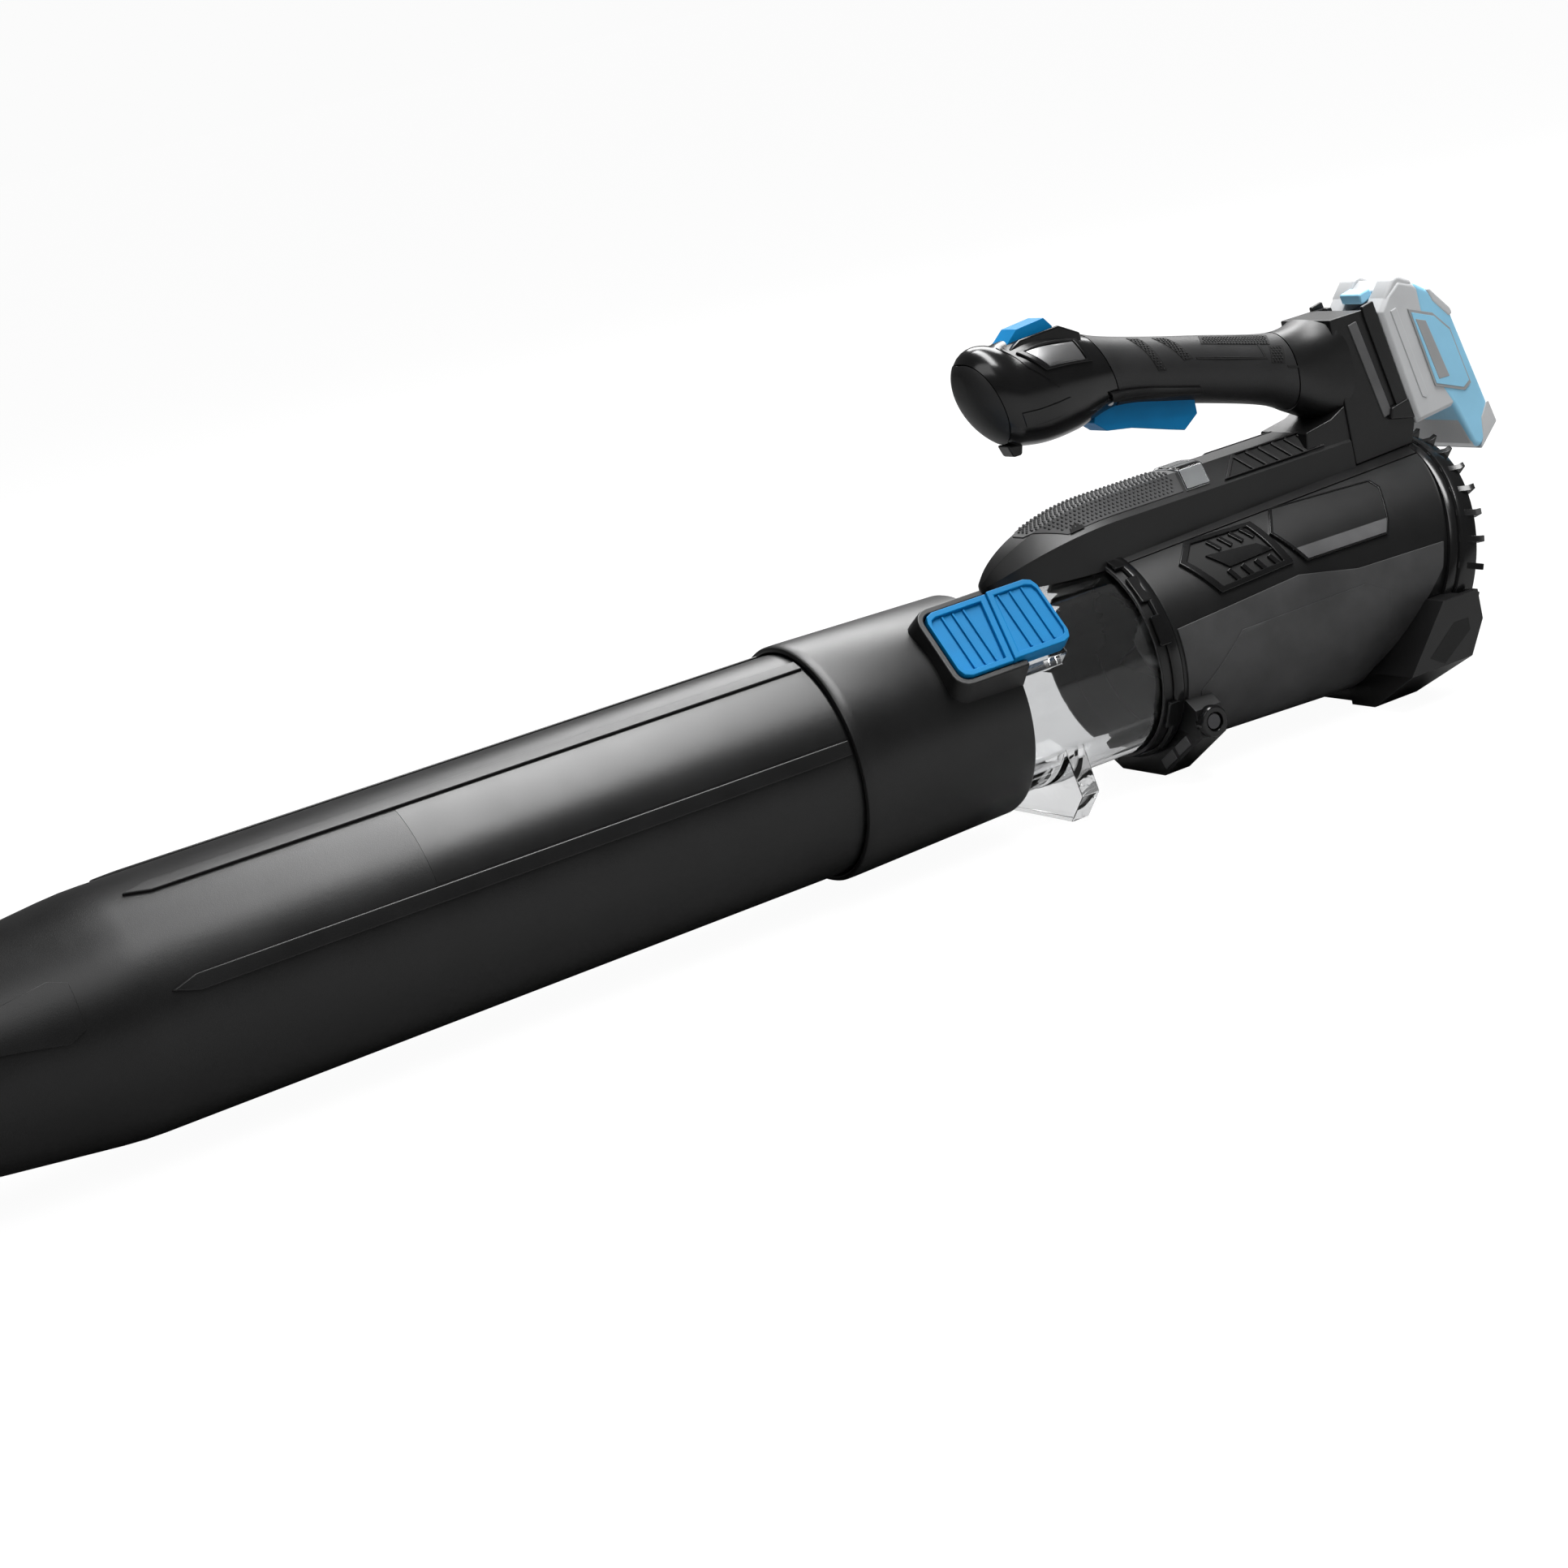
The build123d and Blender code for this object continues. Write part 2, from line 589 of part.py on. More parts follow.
# Motor pod: end plates carry the bearings, vanes carry the pod inside a ring
pod_inside = POD_RADIUS - POD_WALL
pod = rod(pod_front_x, pod_rear_x, POD_RADIUS)
pod -= rod(pod_front_x + POD_END, pod_rear_x - POD_END, pod_inside)
pod -= rod(pod_front_x, pod_rear_x, BEARING_RADIUS)
ring_outer = barrel_radius(pod_front_x) - BARREL_WALL - SEAM_GAP
pod += pipe(pod_front_x, pod_front_x + VANE_LENGTH, ring_outer, ring_outer, POD_WALL)
vane_root = POD_RADIUS - POD_WALL / 2
vane_tip = ring_outer - POD_WALL / 2
vane = Pos(pod_front_x + VANE_LENGTH / 2, 0, (vane_tip + vane_root) / 2) * Box(
    VANE_LENGTH, VANE_THICKNESS, vane_tip - vane_root
)
pod += [Rot(X=turn * 360 / VANES) * vane for turn in range(VANES)]
nodes["motor_pod"] = pod
bearing_bore = SHAFT_RADIUS + PIN_CLEARANCE
front_bearing_x = pod_front_x + (POD_END - BEARING_WIDTH) / 2
rear_bearing_x = pod_rear_x - POD_END + (POD_END - BEARING_WIDTH) / 2
for name, start_x in (("front_bearing", front_bearing_x), ("rear_bearing", rear_bearing_x)):
    nodes[name] = pipe(
        start_x, start_x + BEARING_WIDTH, BEARING_RADIUS, BEARING_RADIUS, BEARING_RADIUS - bearing_bore
    )
stator_front_x = pod_front_x + POD_END + MOVE_CLEARANCE
stator_rear_x = pod_rear_x - POD_END - MOVE_CLEARANCE
nodes["motor_stator"] = pipe(stator_front_x, stator_rear_x, pod_inside, pod_inside, pod_inside - STATOR_BORE)
nodes["motor_rotor"] = pipe(
    stator_front_x, stator_rear_x, ROTOR_RADIUS, ROTOR_RADIUS, ROTOR_RADIUS - SHAFT_RADIUS - PIN_CLEARANCE
)
nodes["tail_cone"] = revolved([
    (pod_rear_x, BEARING_RADIUS),
    (pod_rear_x, POD_RADIUS),
    (pod_rear_x + CONE_LENGTH, CONE_TIP_RADIUS),
    (pod_rear_x + CONE_LENGTH, 0),
    (shaft_rear_x + MOVE_CLEARANCE, 0),
    (shaft_rear_x + MOVE_CLEARANCE, BEARING_RADIUS),
])


def deck_body(inset):
    """The deck's outer form, or the space inside it when inset is its wall."""
    top = DECK_TOP - inset
    nose_x = DECK_FRONT_X + inset
    shoulder_x = DECK_FRONT_X + DECK_NOSE_LENGTH
    front = (nose_x, DECK_FRONT_Z)
    rise = Spline((shoulder_x, top), front, tangents=((-1, 0), (-DECK_NOSE_SLOPE, -1)))
    back = Polyline(front, (nose_x, 0), (DECK_REAR_X, 0), (DECK_REAR_X, top), (shoulder_x, top))
    side = extrude(Plane.XZ * make_face(rise + back), DECK_HALF_WIDTH, both=True)
    half = DECK_HALF_WIDTH - inset
    crest = DECK_CREST_HALF_WIDTH
    edge = DECK_EDGE - inset
    section = cross_plate(
        [(-half, 0), (-half, edge), (-crest, top), (crest, top), (half, edge), (half, 0)],
        nose_x,
        DECK_REAR_X - nose_x,
    )
    point = Spline((shoulder_x, half), (nose_x, 0), (shoulder_x, -half), tangents=((-1, 0), (1, 0)))
    flanks = Polyline((shoulder_x, -half), (DECK_REAR_X, -half), (DECK_REAR_X, half), (shoulder_x, half))
    plan = extrude(make_face(point + flanks), 2 * DECK_TOP, dir=(0, 0, 1))
    return side & section & plan


deck = deck_body(0) - deck_body(DECK_WALL)
deck -= barrel_body(BARREL_FRONT_X, barrel_end_x, SEAM_GAP)
deck -= rod(DECK_FRONT_X - DECK_WALL, BARREL_FRONT_X, BARREL_FRONT_RADIUS + SEAM_GAP)
pad_length = PAD_REAR_X - PAD_FRONT_X
pad = Pos((PAD_FRONT_X + PAD_REAR_X) / 2, 0, DECK_TOP - PAD_THICKNESS / 2) * Box(
    pad_length, 2 * DECK_CREST_HALF_WIDTH - DECK_WALL, PAD_THICKNESS
)
led = Pos(PAD_REAR_X + DECK_WALL + LED_LENGTH / 2, 0, DECK_TOP - LED_DEPTH / 2) * Box(
    LED_LENGTH, 2 * DECK_CREST_HALF_WIDTH - DECK_WALL, LED_DEPTH
)
deck = deck - pad - led
vent_x = PAD_REAR_X + LED_LENGTH + 3 * DECK_WALL
for slot in range(VENT_SLOTS):
    slot_x = vent_x + slot * VENT_PITCH + VENT_WIDTH / 2
    deck -= Pos(slot_x, 0, DECK_TOP) * Box(VENT_WIDTH, 2 * DECK_CREST_HALF_WIDTH, 4 * DECK_WALL)
nodes["deck_cover"] = deck
nodes["deck_pad"] = pad
nodes["led_window"] = led
nodes["controller_board"] = Pos(vent_x + BOARD_LENGTH / 2, 0, BOARD_Z) * Box(
    BOARD_LENGTH, BOARD_WIDTH, BOARD_THICKNESS
)


def handle_body(inset):
    """The handle's outer form through its stations, or a form inset from it."""
    sections = []
    for x, top, bottom, half_width in HANDLE_STATIONS:
        place = Plane(origin=(x, 0, (top + bottom) / 2), x_dir=(0, 1, 0), z_dir=(1, 0, 0))
        sections.append(place * Ellipse(half_width - inset, (top - bottom) / 2 - inset))
    return loft(sections)


def handle_stretch(x0, x1):
    """A block that takes in everything between two stations of the handle."""
    return side_plate([(x0, 0), (x1, 0), (x1, 2 * LEVER_TOP), (x0, 2 * LEVER_TOP)], 2 * DOCK_HALF_WIDTH)


handle_outer = handle_body(0)
trigger_slot = side_plate(
    [
        (TRIGGER_FRONT_X - TRIGGER_SLOT_GAP, DECK_TOP),
        (TRIGGER_REAR_X + TRIGGER_REAR_GAP, DECK_TOP),
        (TRIGGER_REAR_X + TRIGGER_REAR_GAP, SWITCH_BOTTOM),
        (TRIGGER_FRONT_X - TRIGGER_SLOT_GAP, SWITCH_BOTTOM),
    ],
    TRIGGER_HALF_WIDTH + TRIGGER_SLOT_GAP,
)
lever_slot = side_plate(
    [
        (LEVER_FRONT_X - LEVER_SLOT_GAP, LEVER_PIN_Z),
        (LEVER_REAR_X + LEVER_SLOT_GAP, LEVER_PIN_Z),
        (LEVER_REAR_X + LEVER_SLOT_GAP, 2 * LEVER_TOP),
        (LEVER_FRONT_X - LEVER_SLOT_GAP, 2 * LEVER_TOP),
    ],
    LEVER_HALF_WIDTH + TRIGGER_SLOT_GAP,
)
grip_zone = handle_stretch(GRIP_FRONT_X, GRIP_REAR_X) & (handle_outer - handle_body(GRIP_SKIN))
handle = handle_outer - handle_body(HANDLE_WALL) - grip_zone - trigger_slot - lever_slot
for x, z, radius, length in (
    (TRIGGER_PIN_X, TRIGGER_PIN_Z, TRIGGER_PIN_RADIUS, TRIGGER_PIN_LENGTH),
    (LEVER_PIN_X, LEVER_PIN_Z, LEVER_PIN_RADIUS, LEVER_PIN_LENGTH),
):
    handle -= cross_pin(x, z, radius + PIN_CLEARANCE, length + 2 * PIN_CLEARANCE)
nodes["nose_bumper"] = handle & handle_stretch(0, BUMPER_X)
handle_rest = handle - handle_stretch(0, BUMPER_X + SEAM_GAP)
nodes["handle_left"] = keep_side(handle_rest, -1)
nodes["handle_right"] = keep_side(handle_rest, 1)
nodes["grip_cover"] = grip_zone - trigger_slot

# Trigger, its pin, spring and switch
trigger = side_plate(
    [
        (TRIGGER_FRONT_X, TRIGGER_NOSE_Z),
        (TRIGGER_PIN_X - 2 * TRIGGER_PIN_RADIUS, TRIGGER_PIN_Z + 2 * TRIGGER_PIN_RADIUS),
        (TRIGGER_PIN_X + 2 * TRIGGER_PIN_RADIUS, TRIGGER_PIN_Z + 2 * TRIGGER_PIN_RADIUS),
        (TRIGGER_REAR_X, TRIGGER_TAIL_TOP),
        (TRIGGER_REAR_X, TRIGGER_TAIL_BOTTOM),
        (TRIGGER_REAR_X - TRIGGER_TOE_LENGTH, TRIGGER_TOE_Z),
        TRIGGER_WAIST,
        TRIGGER_CHIN,
    ],
    TRIGGER_HALF_WIDTH,
)
trigger -= cross_pin(TRIGGER_PIN_X, TRIGGER_PIN_Z, TRIGGER_PIN_RADIUS + PIN_CLEARANCE, 2 * TRIGGER_PIN_LENGTH)
nodes["trigger"] = trigger
nodes["trigger_pin"] = cross_pin(TRIGGER_PIN_X, TRIGGER_PIN_Z, TRIGGER_PIN_RADIUS, TRIGGER_PIN_LENGTH)
nodes["switch_body"] = Pos(
    SWITCH_FRONT_X + SWITCH_LENGTH / 2, 0, SWITCH_BOTTOM + SWITCH_HEIGHT / 2
) * Box(SWITCH_LENGTH, 2 * TRIGGER_HALF_WIDTH, SWITCH_HEIGHT)

spring_length = SWITCH_BOTTOM - SPRING_BOTTOM - 2 * SPRING_WIRE
nodes["trigger_spring"] = Pos(SPRING_X, 0, SPRING_BOTTOM + SPRING_WIRE) * coil(
    SPRING_RADIUS, SPRING_WIRE, SPRING_TURNS, spring_length
)

# Thumb lever on top of the nose
lever = side_plate(
    [
        (LEVER_FRONT_X, LEVER_TOP - LEVER_SLOPE_LENGTH),
        (LEVER_FRONT_X + LEVER_SLOPE_LENGTH, LEVER_TOP - LEVER_SLOPE_TOP),
        (LEVER_REAR_X - LEVER_HEEL_LENGTH, LEVER_TOP),
        (LEVER_REAR_X, LEVER_TOP - LEVER_HEEL_DROP),
        (LEVER_PIN_X + LEVER_STEM, LEVER_BOTTOM),
        (LEVER_PIN_X - LEVER_STEM, LEVER_BOTTOM),
    ],
    LEVER_HALF_WIDTH,
)
lever -= cross_pin(LEVER_PIN_X, LEVER_PIN_Z, LEVER_PIN_RADIUS + PIN_CLEARANCE, 2 * LEVER_PIN_LENGTH)
nodes["speed_lever"] = lever
nodes["lever_pin"] = cross_pin(LEVER_PIN_X, LEVER_PIN_Z, LEVER_PIN_RADIUS, LEVER_PIN_LENGTH)

# Battery dock: a block between the handle root and the battery, with a T-slot
tilt = math.radians(BATTERY_TILT)
dock_face = Plane(
    origin=(DOCK_X, 0, DOCK_Z), x_dir=(0, 1, 0), z_dir=(math.cos(tilt), 0, math.sin(tilt))
)


def dock_box(width, low, high, back, front):
    """A block on the dock face: across, along the slide, and through the face."""
    return dock_face * Pos(0, (low + high) / 2, (back + front) / 2) * Box(width, high - low, front - back)


def dock_edge_x(z):
    """Where the dock face lies at a height."""
    return DOCK_X - (z - DOCK_Z) * math.tan(tilt)


dock = side_plate(
    [
        (DOCK_FRONT_X, DOCK_BASE),
        (DOCK_FRONT_X, DOCK_TOP),
        (dock_edge_x(DOCK_TOP), DOCK_TOP),
        (dock_edge_x(DOCK_BASE), DOCK_BASE),
    ],
    DOCK_HALF_WIDTH,
)
hollow_back = (TONGUE_DEPTH + BATTERY_GAP + DOCK_WALL) / math.cos(tilt)
hollow_top = DOCK_TOP - DOCK_WALL
hollow_base = BARREL_REAR_RADIUS + 2 * DOCK_WALL
dock -= side_plate(
    [
        (DOCK_FRONT_X, hollow_base),
        (DOCK_FRONT_X, hollow_top),
        (dock_edge_x(hollow_top) - hollow_back, hollow_top),
        (dock_edge_x(hollow_base) - hollow_back, hollow_base),
    ],
    DOCK_HALF_WIDTH - DOCK_WALL,
)
slot_clear = 2 * BATTERY_GAP
slot_high = 2 * DOCK_TOP - 2 * DOCK_Z
dock -= dock_box(
    TONGUE_NECK_WIDTH + slot_clear, -DOCK_POCKET_LOW, slot_high, -TONGUE_DEPTH - BATTERY_GAP, MOVE_CLEARANCE
)
dock -= dock_box(
    TONGUE_HEAD_WIDTH + slot_clear, -DOCK_POCKET_LOW, slot_high, -TONGUE_DEPTH - BATTERY_GAP, -LIP_DEPTH
)
dock -= barrel_body(BARREL_FRONT_X, barrel_end_x, SEAM_GAP)
dock -= behind
nodes["battery_dock"] = dock
terminal_floor = -TONGUE_DEPTH - BATTERY_GAP
terminal_low = -DOCK_POCKET_LOW
terminals = []
terminal_places = [(i - (TERMINALS - 1) / 2) * TERMINAL_PITCH for i in range(TERMINALS)]
tongue_low = -DOCK_POCKET_LOW + BATTERY_GAP
tongue = dock_box(TONGUE_NECK_WIDTH, tongue_low, TONGUE_HIGH, -TONGUE_DEPTH, BATTERY_GAP + BATTERY_WALL)
tongue += dock_box(TONGUE_HEAD_WIDTH, tongue_low, TONGUE_HIGH, -TONGUE_DEPTH, -LIP_DEPTH - BATTERY_GAP)
for place in terminal_places:
    blade_box = dock_box(
        TERMINAL_THICKNESS, terminal_low, terminal_low + TERMINAL_LENGTH, terminal_floor, -LIP_DEPTH
    )
    terminals.append(Pos(0, place, 0) * blade_box)
    slot_box = dock_box(
        3 * TERMINAL_THICKNESS,
        terminal_low,
        terminal_low + TERMINAL_LENGTH + 2 * BATTERY_GAP,
        terminal_floor,
        -LIP_DEPTH + 2 * BATTERY_GAP,
    )
    tongue -= Pos(0, place, 0) * slot_box
nodes["dock_terminals"] = Compound(children=terminals)

# Battery: case with the tongue, cells and the release button


def dock_plate(inset, half_width):
    """The battery's side outline, or one inset from it, given a width to both sides."""
    outline = offset(Polygon(*BATTERY_OUTLINE, align=None), -inset, kind=Kind.INTERSECTION)
    place = Plane(origin=(DOCK_X, 0, DOCK_Z), x_dir=dock_face.y_dir, z_dir=(0, -1, 0))
    return extrude(place * mirror(outline, Plane.XZ), half_width, both=True)


half_battery = BATTERY_WIDTH / 2
case = dock_plate(0, half_battery)
flank_edges = case.faces().sort_by(Axis.Y)[0].edges() + case.faces().sort_by(Axis.Y)[-1].edges()
case = chamfer(flank_edges, BATTERY_CORNER / 2)
case -= dock_plate(BATTERY_WALL, half_battery - BATTERY_CORNER)
button_slot = dock_box(
    BUTTON_WIDTH + 2 * MOVE_CLEARANCE,
    BUTTON_HIGH - BUTTON_HEIGHT - BUTTON_DEPTH,
    2 * BUTTON_HIGH,
    BUTTON_BACK - MOVE_CLEARANCE,
    BUTTON_BACK + BUTTON_THICKNESS + MOVE_CLEARANCE,
)
nodes["battery_case"] = case + tongue - button_slot
nodes["release_button"] = dock_box(
    BUTTON_WIDTH, BUTTON_HIGH - BUTTON_HEIGHT, BUTTON_HIGH, BUTTON_BACK, BUTTON_BACK + BUTTON_THICKNESS
)
cell = Rot(Y=90) * Cylinder(CELL_RADIUS, CELL_LENGTH)
cells = [dock_face * Pos(0, along, out) * cell for along, out in CELL_PLACES]
nodes["battery_cells"] = Compound(children=cells)

# The origin goes under the middle of the object, on the floor
overall = Compound(children=[Compound(children=list(n.solids())) for n in nodes.values()]).bounding_box()
middle_x = (overall.min.X + overall.max.X) / 2
os.makedirs("parts", exist_ok=True)
print("moved by", -middle_x, 0, -overall.min.Z, "size", overall.size)
for name, shape in nodes.items():
    placed = Pos(-middle_x, 0, -overall.min.Z) * Compound(children=list(shape.solids()))
    export_step(placed, "parts/" + name + ".step")
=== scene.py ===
import json
import math

import bmesh
import bpy
from mathutils import Euler, Matrix, Vector


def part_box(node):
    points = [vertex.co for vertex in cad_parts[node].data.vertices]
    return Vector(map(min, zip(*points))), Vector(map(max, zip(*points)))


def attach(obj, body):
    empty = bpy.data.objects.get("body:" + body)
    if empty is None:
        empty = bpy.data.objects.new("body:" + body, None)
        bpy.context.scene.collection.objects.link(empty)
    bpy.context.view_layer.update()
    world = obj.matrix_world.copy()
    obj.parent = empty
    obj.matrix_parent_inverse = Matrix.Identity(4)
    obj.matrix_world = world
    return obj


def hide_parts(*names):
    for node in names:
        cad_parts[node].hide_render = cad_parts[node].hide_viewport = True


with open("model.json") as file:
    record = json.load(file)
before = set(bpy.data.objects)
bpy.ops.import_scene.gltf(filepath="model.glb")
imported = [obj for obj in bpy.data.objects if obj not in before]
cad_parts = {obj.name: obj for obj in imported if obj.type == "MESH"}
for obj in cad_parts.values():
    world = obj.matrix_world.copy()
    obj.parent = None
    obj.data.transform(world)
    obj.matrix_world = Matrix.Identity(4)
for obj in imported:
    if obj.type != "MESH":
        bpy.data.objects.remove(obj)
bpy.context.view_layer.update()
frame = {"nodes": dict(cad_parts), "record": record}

bl_info = {
    "name": "Leaf blower",
    "version": (1, 0, 0),
    "blender": (4, 5, 0),
    "location": "View3D > Sidebar > Leaf blower",
    "description": "Builds the visible pieces of a battery leaf blower around its solid model",
    "category": "Object",
}

# Lengths in the drawing are millimetres. x runs along the air axis from the sleeve's front edge
# to the battery, y is across, and z is up from the air axis.
MM = 0.001
SLEEVE_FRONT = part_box("rear_sleeve")[0].x
AXIS_HEIGHT = (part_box("motor_shaft")[0].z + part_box("motor_shaft")[1].z) / 2

# Tube and sleeve
TUBE_RADIUS = 53.4
TUBE_FRONT_RADIUS = 55.4
TUBE_FRONT = -355.0
TUBE_WALL = 2.2
TUBE_OVERLAP = 28.0
NOZZLE_RADIUS = 40.0
NOZZLE_START = -485.0
NOZZLE_TIP = -515.0
RIDGE_ANGLES = (15.0, 68.0, 112.0, 165.0)
RIDGE_HALF = 3.7
RIDGE_FRONT = -334.0
FILM_FRONT = -209.0
SLEEVE_RADIUS = 57.0
SLEEVE_REAR_RADIUS = 54.6
SLEEVE_LENGTH = 95.0
DUCT_RADIUS = 48.5

# Latch, on a plane that touches the sleeve
LATCH_ANGLE = 42.0
LATCH_FRONT = 60.0
LATCH_REAR = 121.0
LATCH_HALF_WIDTH = 19.0
LATCH_BOTTOM = 57.5

# Barrel and guard
BARREL_FRONT = 183.0
BARREL_RADIUS = 51.8
BARREL_REAR_RADIUS = 57.5
BARREL_WALL = 2.6
RAKE_X = 345.0
RAKE = math.radians(20)
SEAM_ANGLE = 62.5
RING_SEAT = 50.4
GUARD_RADIUS = 63.5
GUARD_INNER_RADIUS = 54.0
GUARD_DEPTH = 13.0

# Lower edge of the front foot, and its screws
LEG_TOE = 18.0
LEG_TOE_Z = -62.0
LEG_SLOPE = math.atan2(22, 37)
SCREW_X = 190.5
SCREW_Z = -33.0

# Deck
DECK_TIP = 114.0
DECK_TIP_Z = 52.0
DECK_NOSE = 70.0
DECK_REAR = 328.0
DECK_TOP = 77.0
DECK_CREST = 9.0
DECK_CREASE = DECK_CREST + 0.01
DECK_HALF_WIDTH = 20.0
DECK_EDGE = 3.5
HOLE_X = 163.0
HOLE_RADIUS = 4.0

# Handle stations behind the nose: place along x, top height, bottom height, half width
NOSE_TIP = 124.8
NOSE_TIP_Z = 146.5
HANDLE_STATIONS = (
    (147.0, 161.0, 112.0, 20.0),
    (164.0, 162.5, 109.5, 22.0),
    (182.0, 159.5, 110.5, 20.5),
    (205.0, 151.0, 115.0, 17.0),
    (235.0, 143.0, 109.5, 16.5),
    (265.0, 136.0, 102.0, 16.5),
    (296.0, 128.5, 92.5, 18.0),
    (310.0, 126.5, 85.0, 18.4),
    (322.0, 127.5, 79.0, 19.6),
    (336.0, 132.0, 76.0, 23.5),
)
BUMPER_END = 134.5
BUMPER_SWEEP = 7.5
NOSE_END = 200.0
NOSE_SWEEP = 5.0
GRIP_END = 305.5
BELL_START = 300.0
BELL_END = 335.0
BELL_SWEEP_TOP = 10.0
BELL_SWEEP_BOTTOM = 15.0
BELL_SQUARENESS = 0.4

# Dock and battery, on the tilted dock face
DOCK_X = 363.0
DOCK_Z = 95.0
DOCK_TILT = math.radians(11)
DOCK_HALF_WIDTH = 20.0
BATTERY_HALF_WIDTH = 22.0

# Camera, as fitted to the photograph: its place, its turn in degrees, and its focal length in pixels
CAMERA_PLACE = (-756.4, -1462.3, 391.8)
CAMERA_TURN = (76.04, 12.645, -30.12)
SENSOR_WIDTH = 36.0
FOCAL_PIXELS = 4500.0
PHOTO_PIXELS = 1932.0

# Studio: lamps with their place, target, sides and power, and how bright the floor and the world are
# as a light and where the camera sees them
LAMPS = (
    ("key_light", (0.6, -0.15, 1.7), (0.55, -0.15, 0.0), (2.0, 0.45), 46),
    ("fill_light", (-0.45, -1.2, 1.55), (0.1, 0.0, 0.1), (1.2, 1.0), 8),
    ("back_light", (1.25, 1.1, 1.3), (0.25, 0.0, 0.1), (1.4, 0.8), 26),
)
FLOOR_HALF = 12.0
FLOOR_TONE = 0.35
FLOOR_SEEN_TONE = 0.8
FLOOR_GLOW = 1.1
FLOOR_GLOW_SHARE = 0.87
WORLD_LIGHT = 0.1
WORLD_SEEN = 0.965


def at(x, y, z):
    """A place in the drawing, in metres in the frame."""
    return Vector((SLEEVE_FRONT + x * MM, y * MM, AXIS_HEIGHT + z * MM))


def around(x, angle, radius):
    """A place at an angle above the left side, seen along the air axis."""
    turn = math.radians(angle)
    return at(x, -radius * math.cos(turn), radius * math.sin(turn))


def raked(depth, angle, radius):
    """A place on the raked plane of the intake guard."""
    turn = math.radians(angle)
    across = -radius * math.cos(turn)
    up = radius * math.sin(turn)
    x = RAKE_X + depth * math.cos(RAKE) + up * math.sin(RAKE)
    return at(x, across, up * math.cos(RAKE) - depth * math.sin(RAKE))


def on_latch(x, across, out):
    """A place on the latch's plane: along the axis, up across the sleeve, and out from the axis."""
    turn = math.radians(LATCH_ANGLE)
    y = -out * math.cos(turn) + across * math.sin(turn)
    return at(x, y, out * math.sin(turn) + across * math.cos(turn))


def on_side(x, z, y):
    """A place in a side view, with its distance across last."""
    return at(x, y, z)


def on_dock(along, out, y):
    """A place on the dock: up along the slide, out from the dock face, and across."""
    x = DOCK_X - along * math.sin(DOCK_TILT) + out * math.cos(DOCK_TILT)
    return at(x, y, DOCK_Z + along * math.cos(DOCK_TILT) + out * math.sin(DOCK_TILT))


def tube_at(x, angle, lift):
    """A place on the tube's face, or lifted off it."""
    if x < TUBE_FRONT:
        share = (TUBE_FRONT - x) / (TUBE_FRONT - NOZZLE_START)
        radius = TUBE_FRONT_RADIUS + share * (NOZZLE_RADIUS - TUBE_FRONT_RADIUS)
    else:
        radius = TUBE_RADIUS + x / TUBE_FRONT * (TUBE_FRONT_RADIUS - TUBE_RADIUS)
    return around(x, angle, radius + lift)


def barrel_at(x, angle, lift):
    """A place on the motor barrel's face, or lifted off it."""
    share = (x - BARREL_FRONT) / (RAKE_X - BARREL_FRONT)
    return around(x, angle, BARREL_RADIUS + share * (BARREL_REAR_RADIUS - BARREL_RADIUS) + lift)


def deck_at(x, across, lift):
    """A place on the deck, by its distance from the middle along the crest and down the slope."""
    share = min(1.0, max(0.0, (x - DECK_TIP) / DECK_NOSE))
    width = math.sqrt(max(0.0, 1 - (1 - share) ** 2))
    top = DECK_TIP_Z + (DECK_TOP - DECK_TIP_Z) * (1 - (1 - share) ** 1.9) ** 0.7
    side = -1 if across < 0 else 1
    slope = max(0.0, abs(across) - DECK_CREST) * math.sqrt(0.5)
    level = min(abs(across), DECK_CREST)
    lean = lift * math.sqrt(0.5) if slope else 0.0
    rise = lift * math.sqrt(0.5) if slope else lift
    return at(x, side * ((level + slope) * width + lean), top - slope * width + rise)


def handle_section(x):
    """Top, bottom and half width of the handle: a round nose, then eased between the stations."""
    first = HANDLE_STATIONS[0]
    if x < first[0]:
        share = max(0.0, (x - NOSE_TIP) / (first[0] - NOSE_TIP))
        swell = max(0.02, math.sqrt(1 - (1 - share) ** 2))
        middle = NOSE_TIP_Z + ((first[1] + first[2]) / 2 - NOSE_TIP_Z) * share
        half_height = swell * (first[1] - first[2]) / 2
        return middle + half_height, middle - half_height, first[3] * swell
    last = len(HANDLE_STATIONS) - 2
    index = max([i for i in range(last + 1) if HANDLE_STATIONS[i][0] <= x], default=0)
    before = HANDLE_STATIONS[max(0, index - 1)]
    start, end = HANDLE_STATIONS[index], HANDLE_STATIONS[index + 1]
    after = HANDLE_STATIONS[min(last + 1, index + 2)]
    stretch = end[0] - start[0]
    t = min(1.0, max(0.0, (x - start[0]) / stretch))
    values = []
    for k in (1, 2, 3):
        leave = (end[k] - before[k]) / (end[0] - before[0]) * stretch
        arrive = (after[k] - start[k]) / (after[0] - start[0]) * stretch
        values.append(
            start[k] * (1 + t * t * (2 * t - 3))
            + end[k] * t * t * (3 - 2 * t)
            + leave * t * (1 - t) ** 2
            - arrive * t * t * (1 - t)
        )
    return values


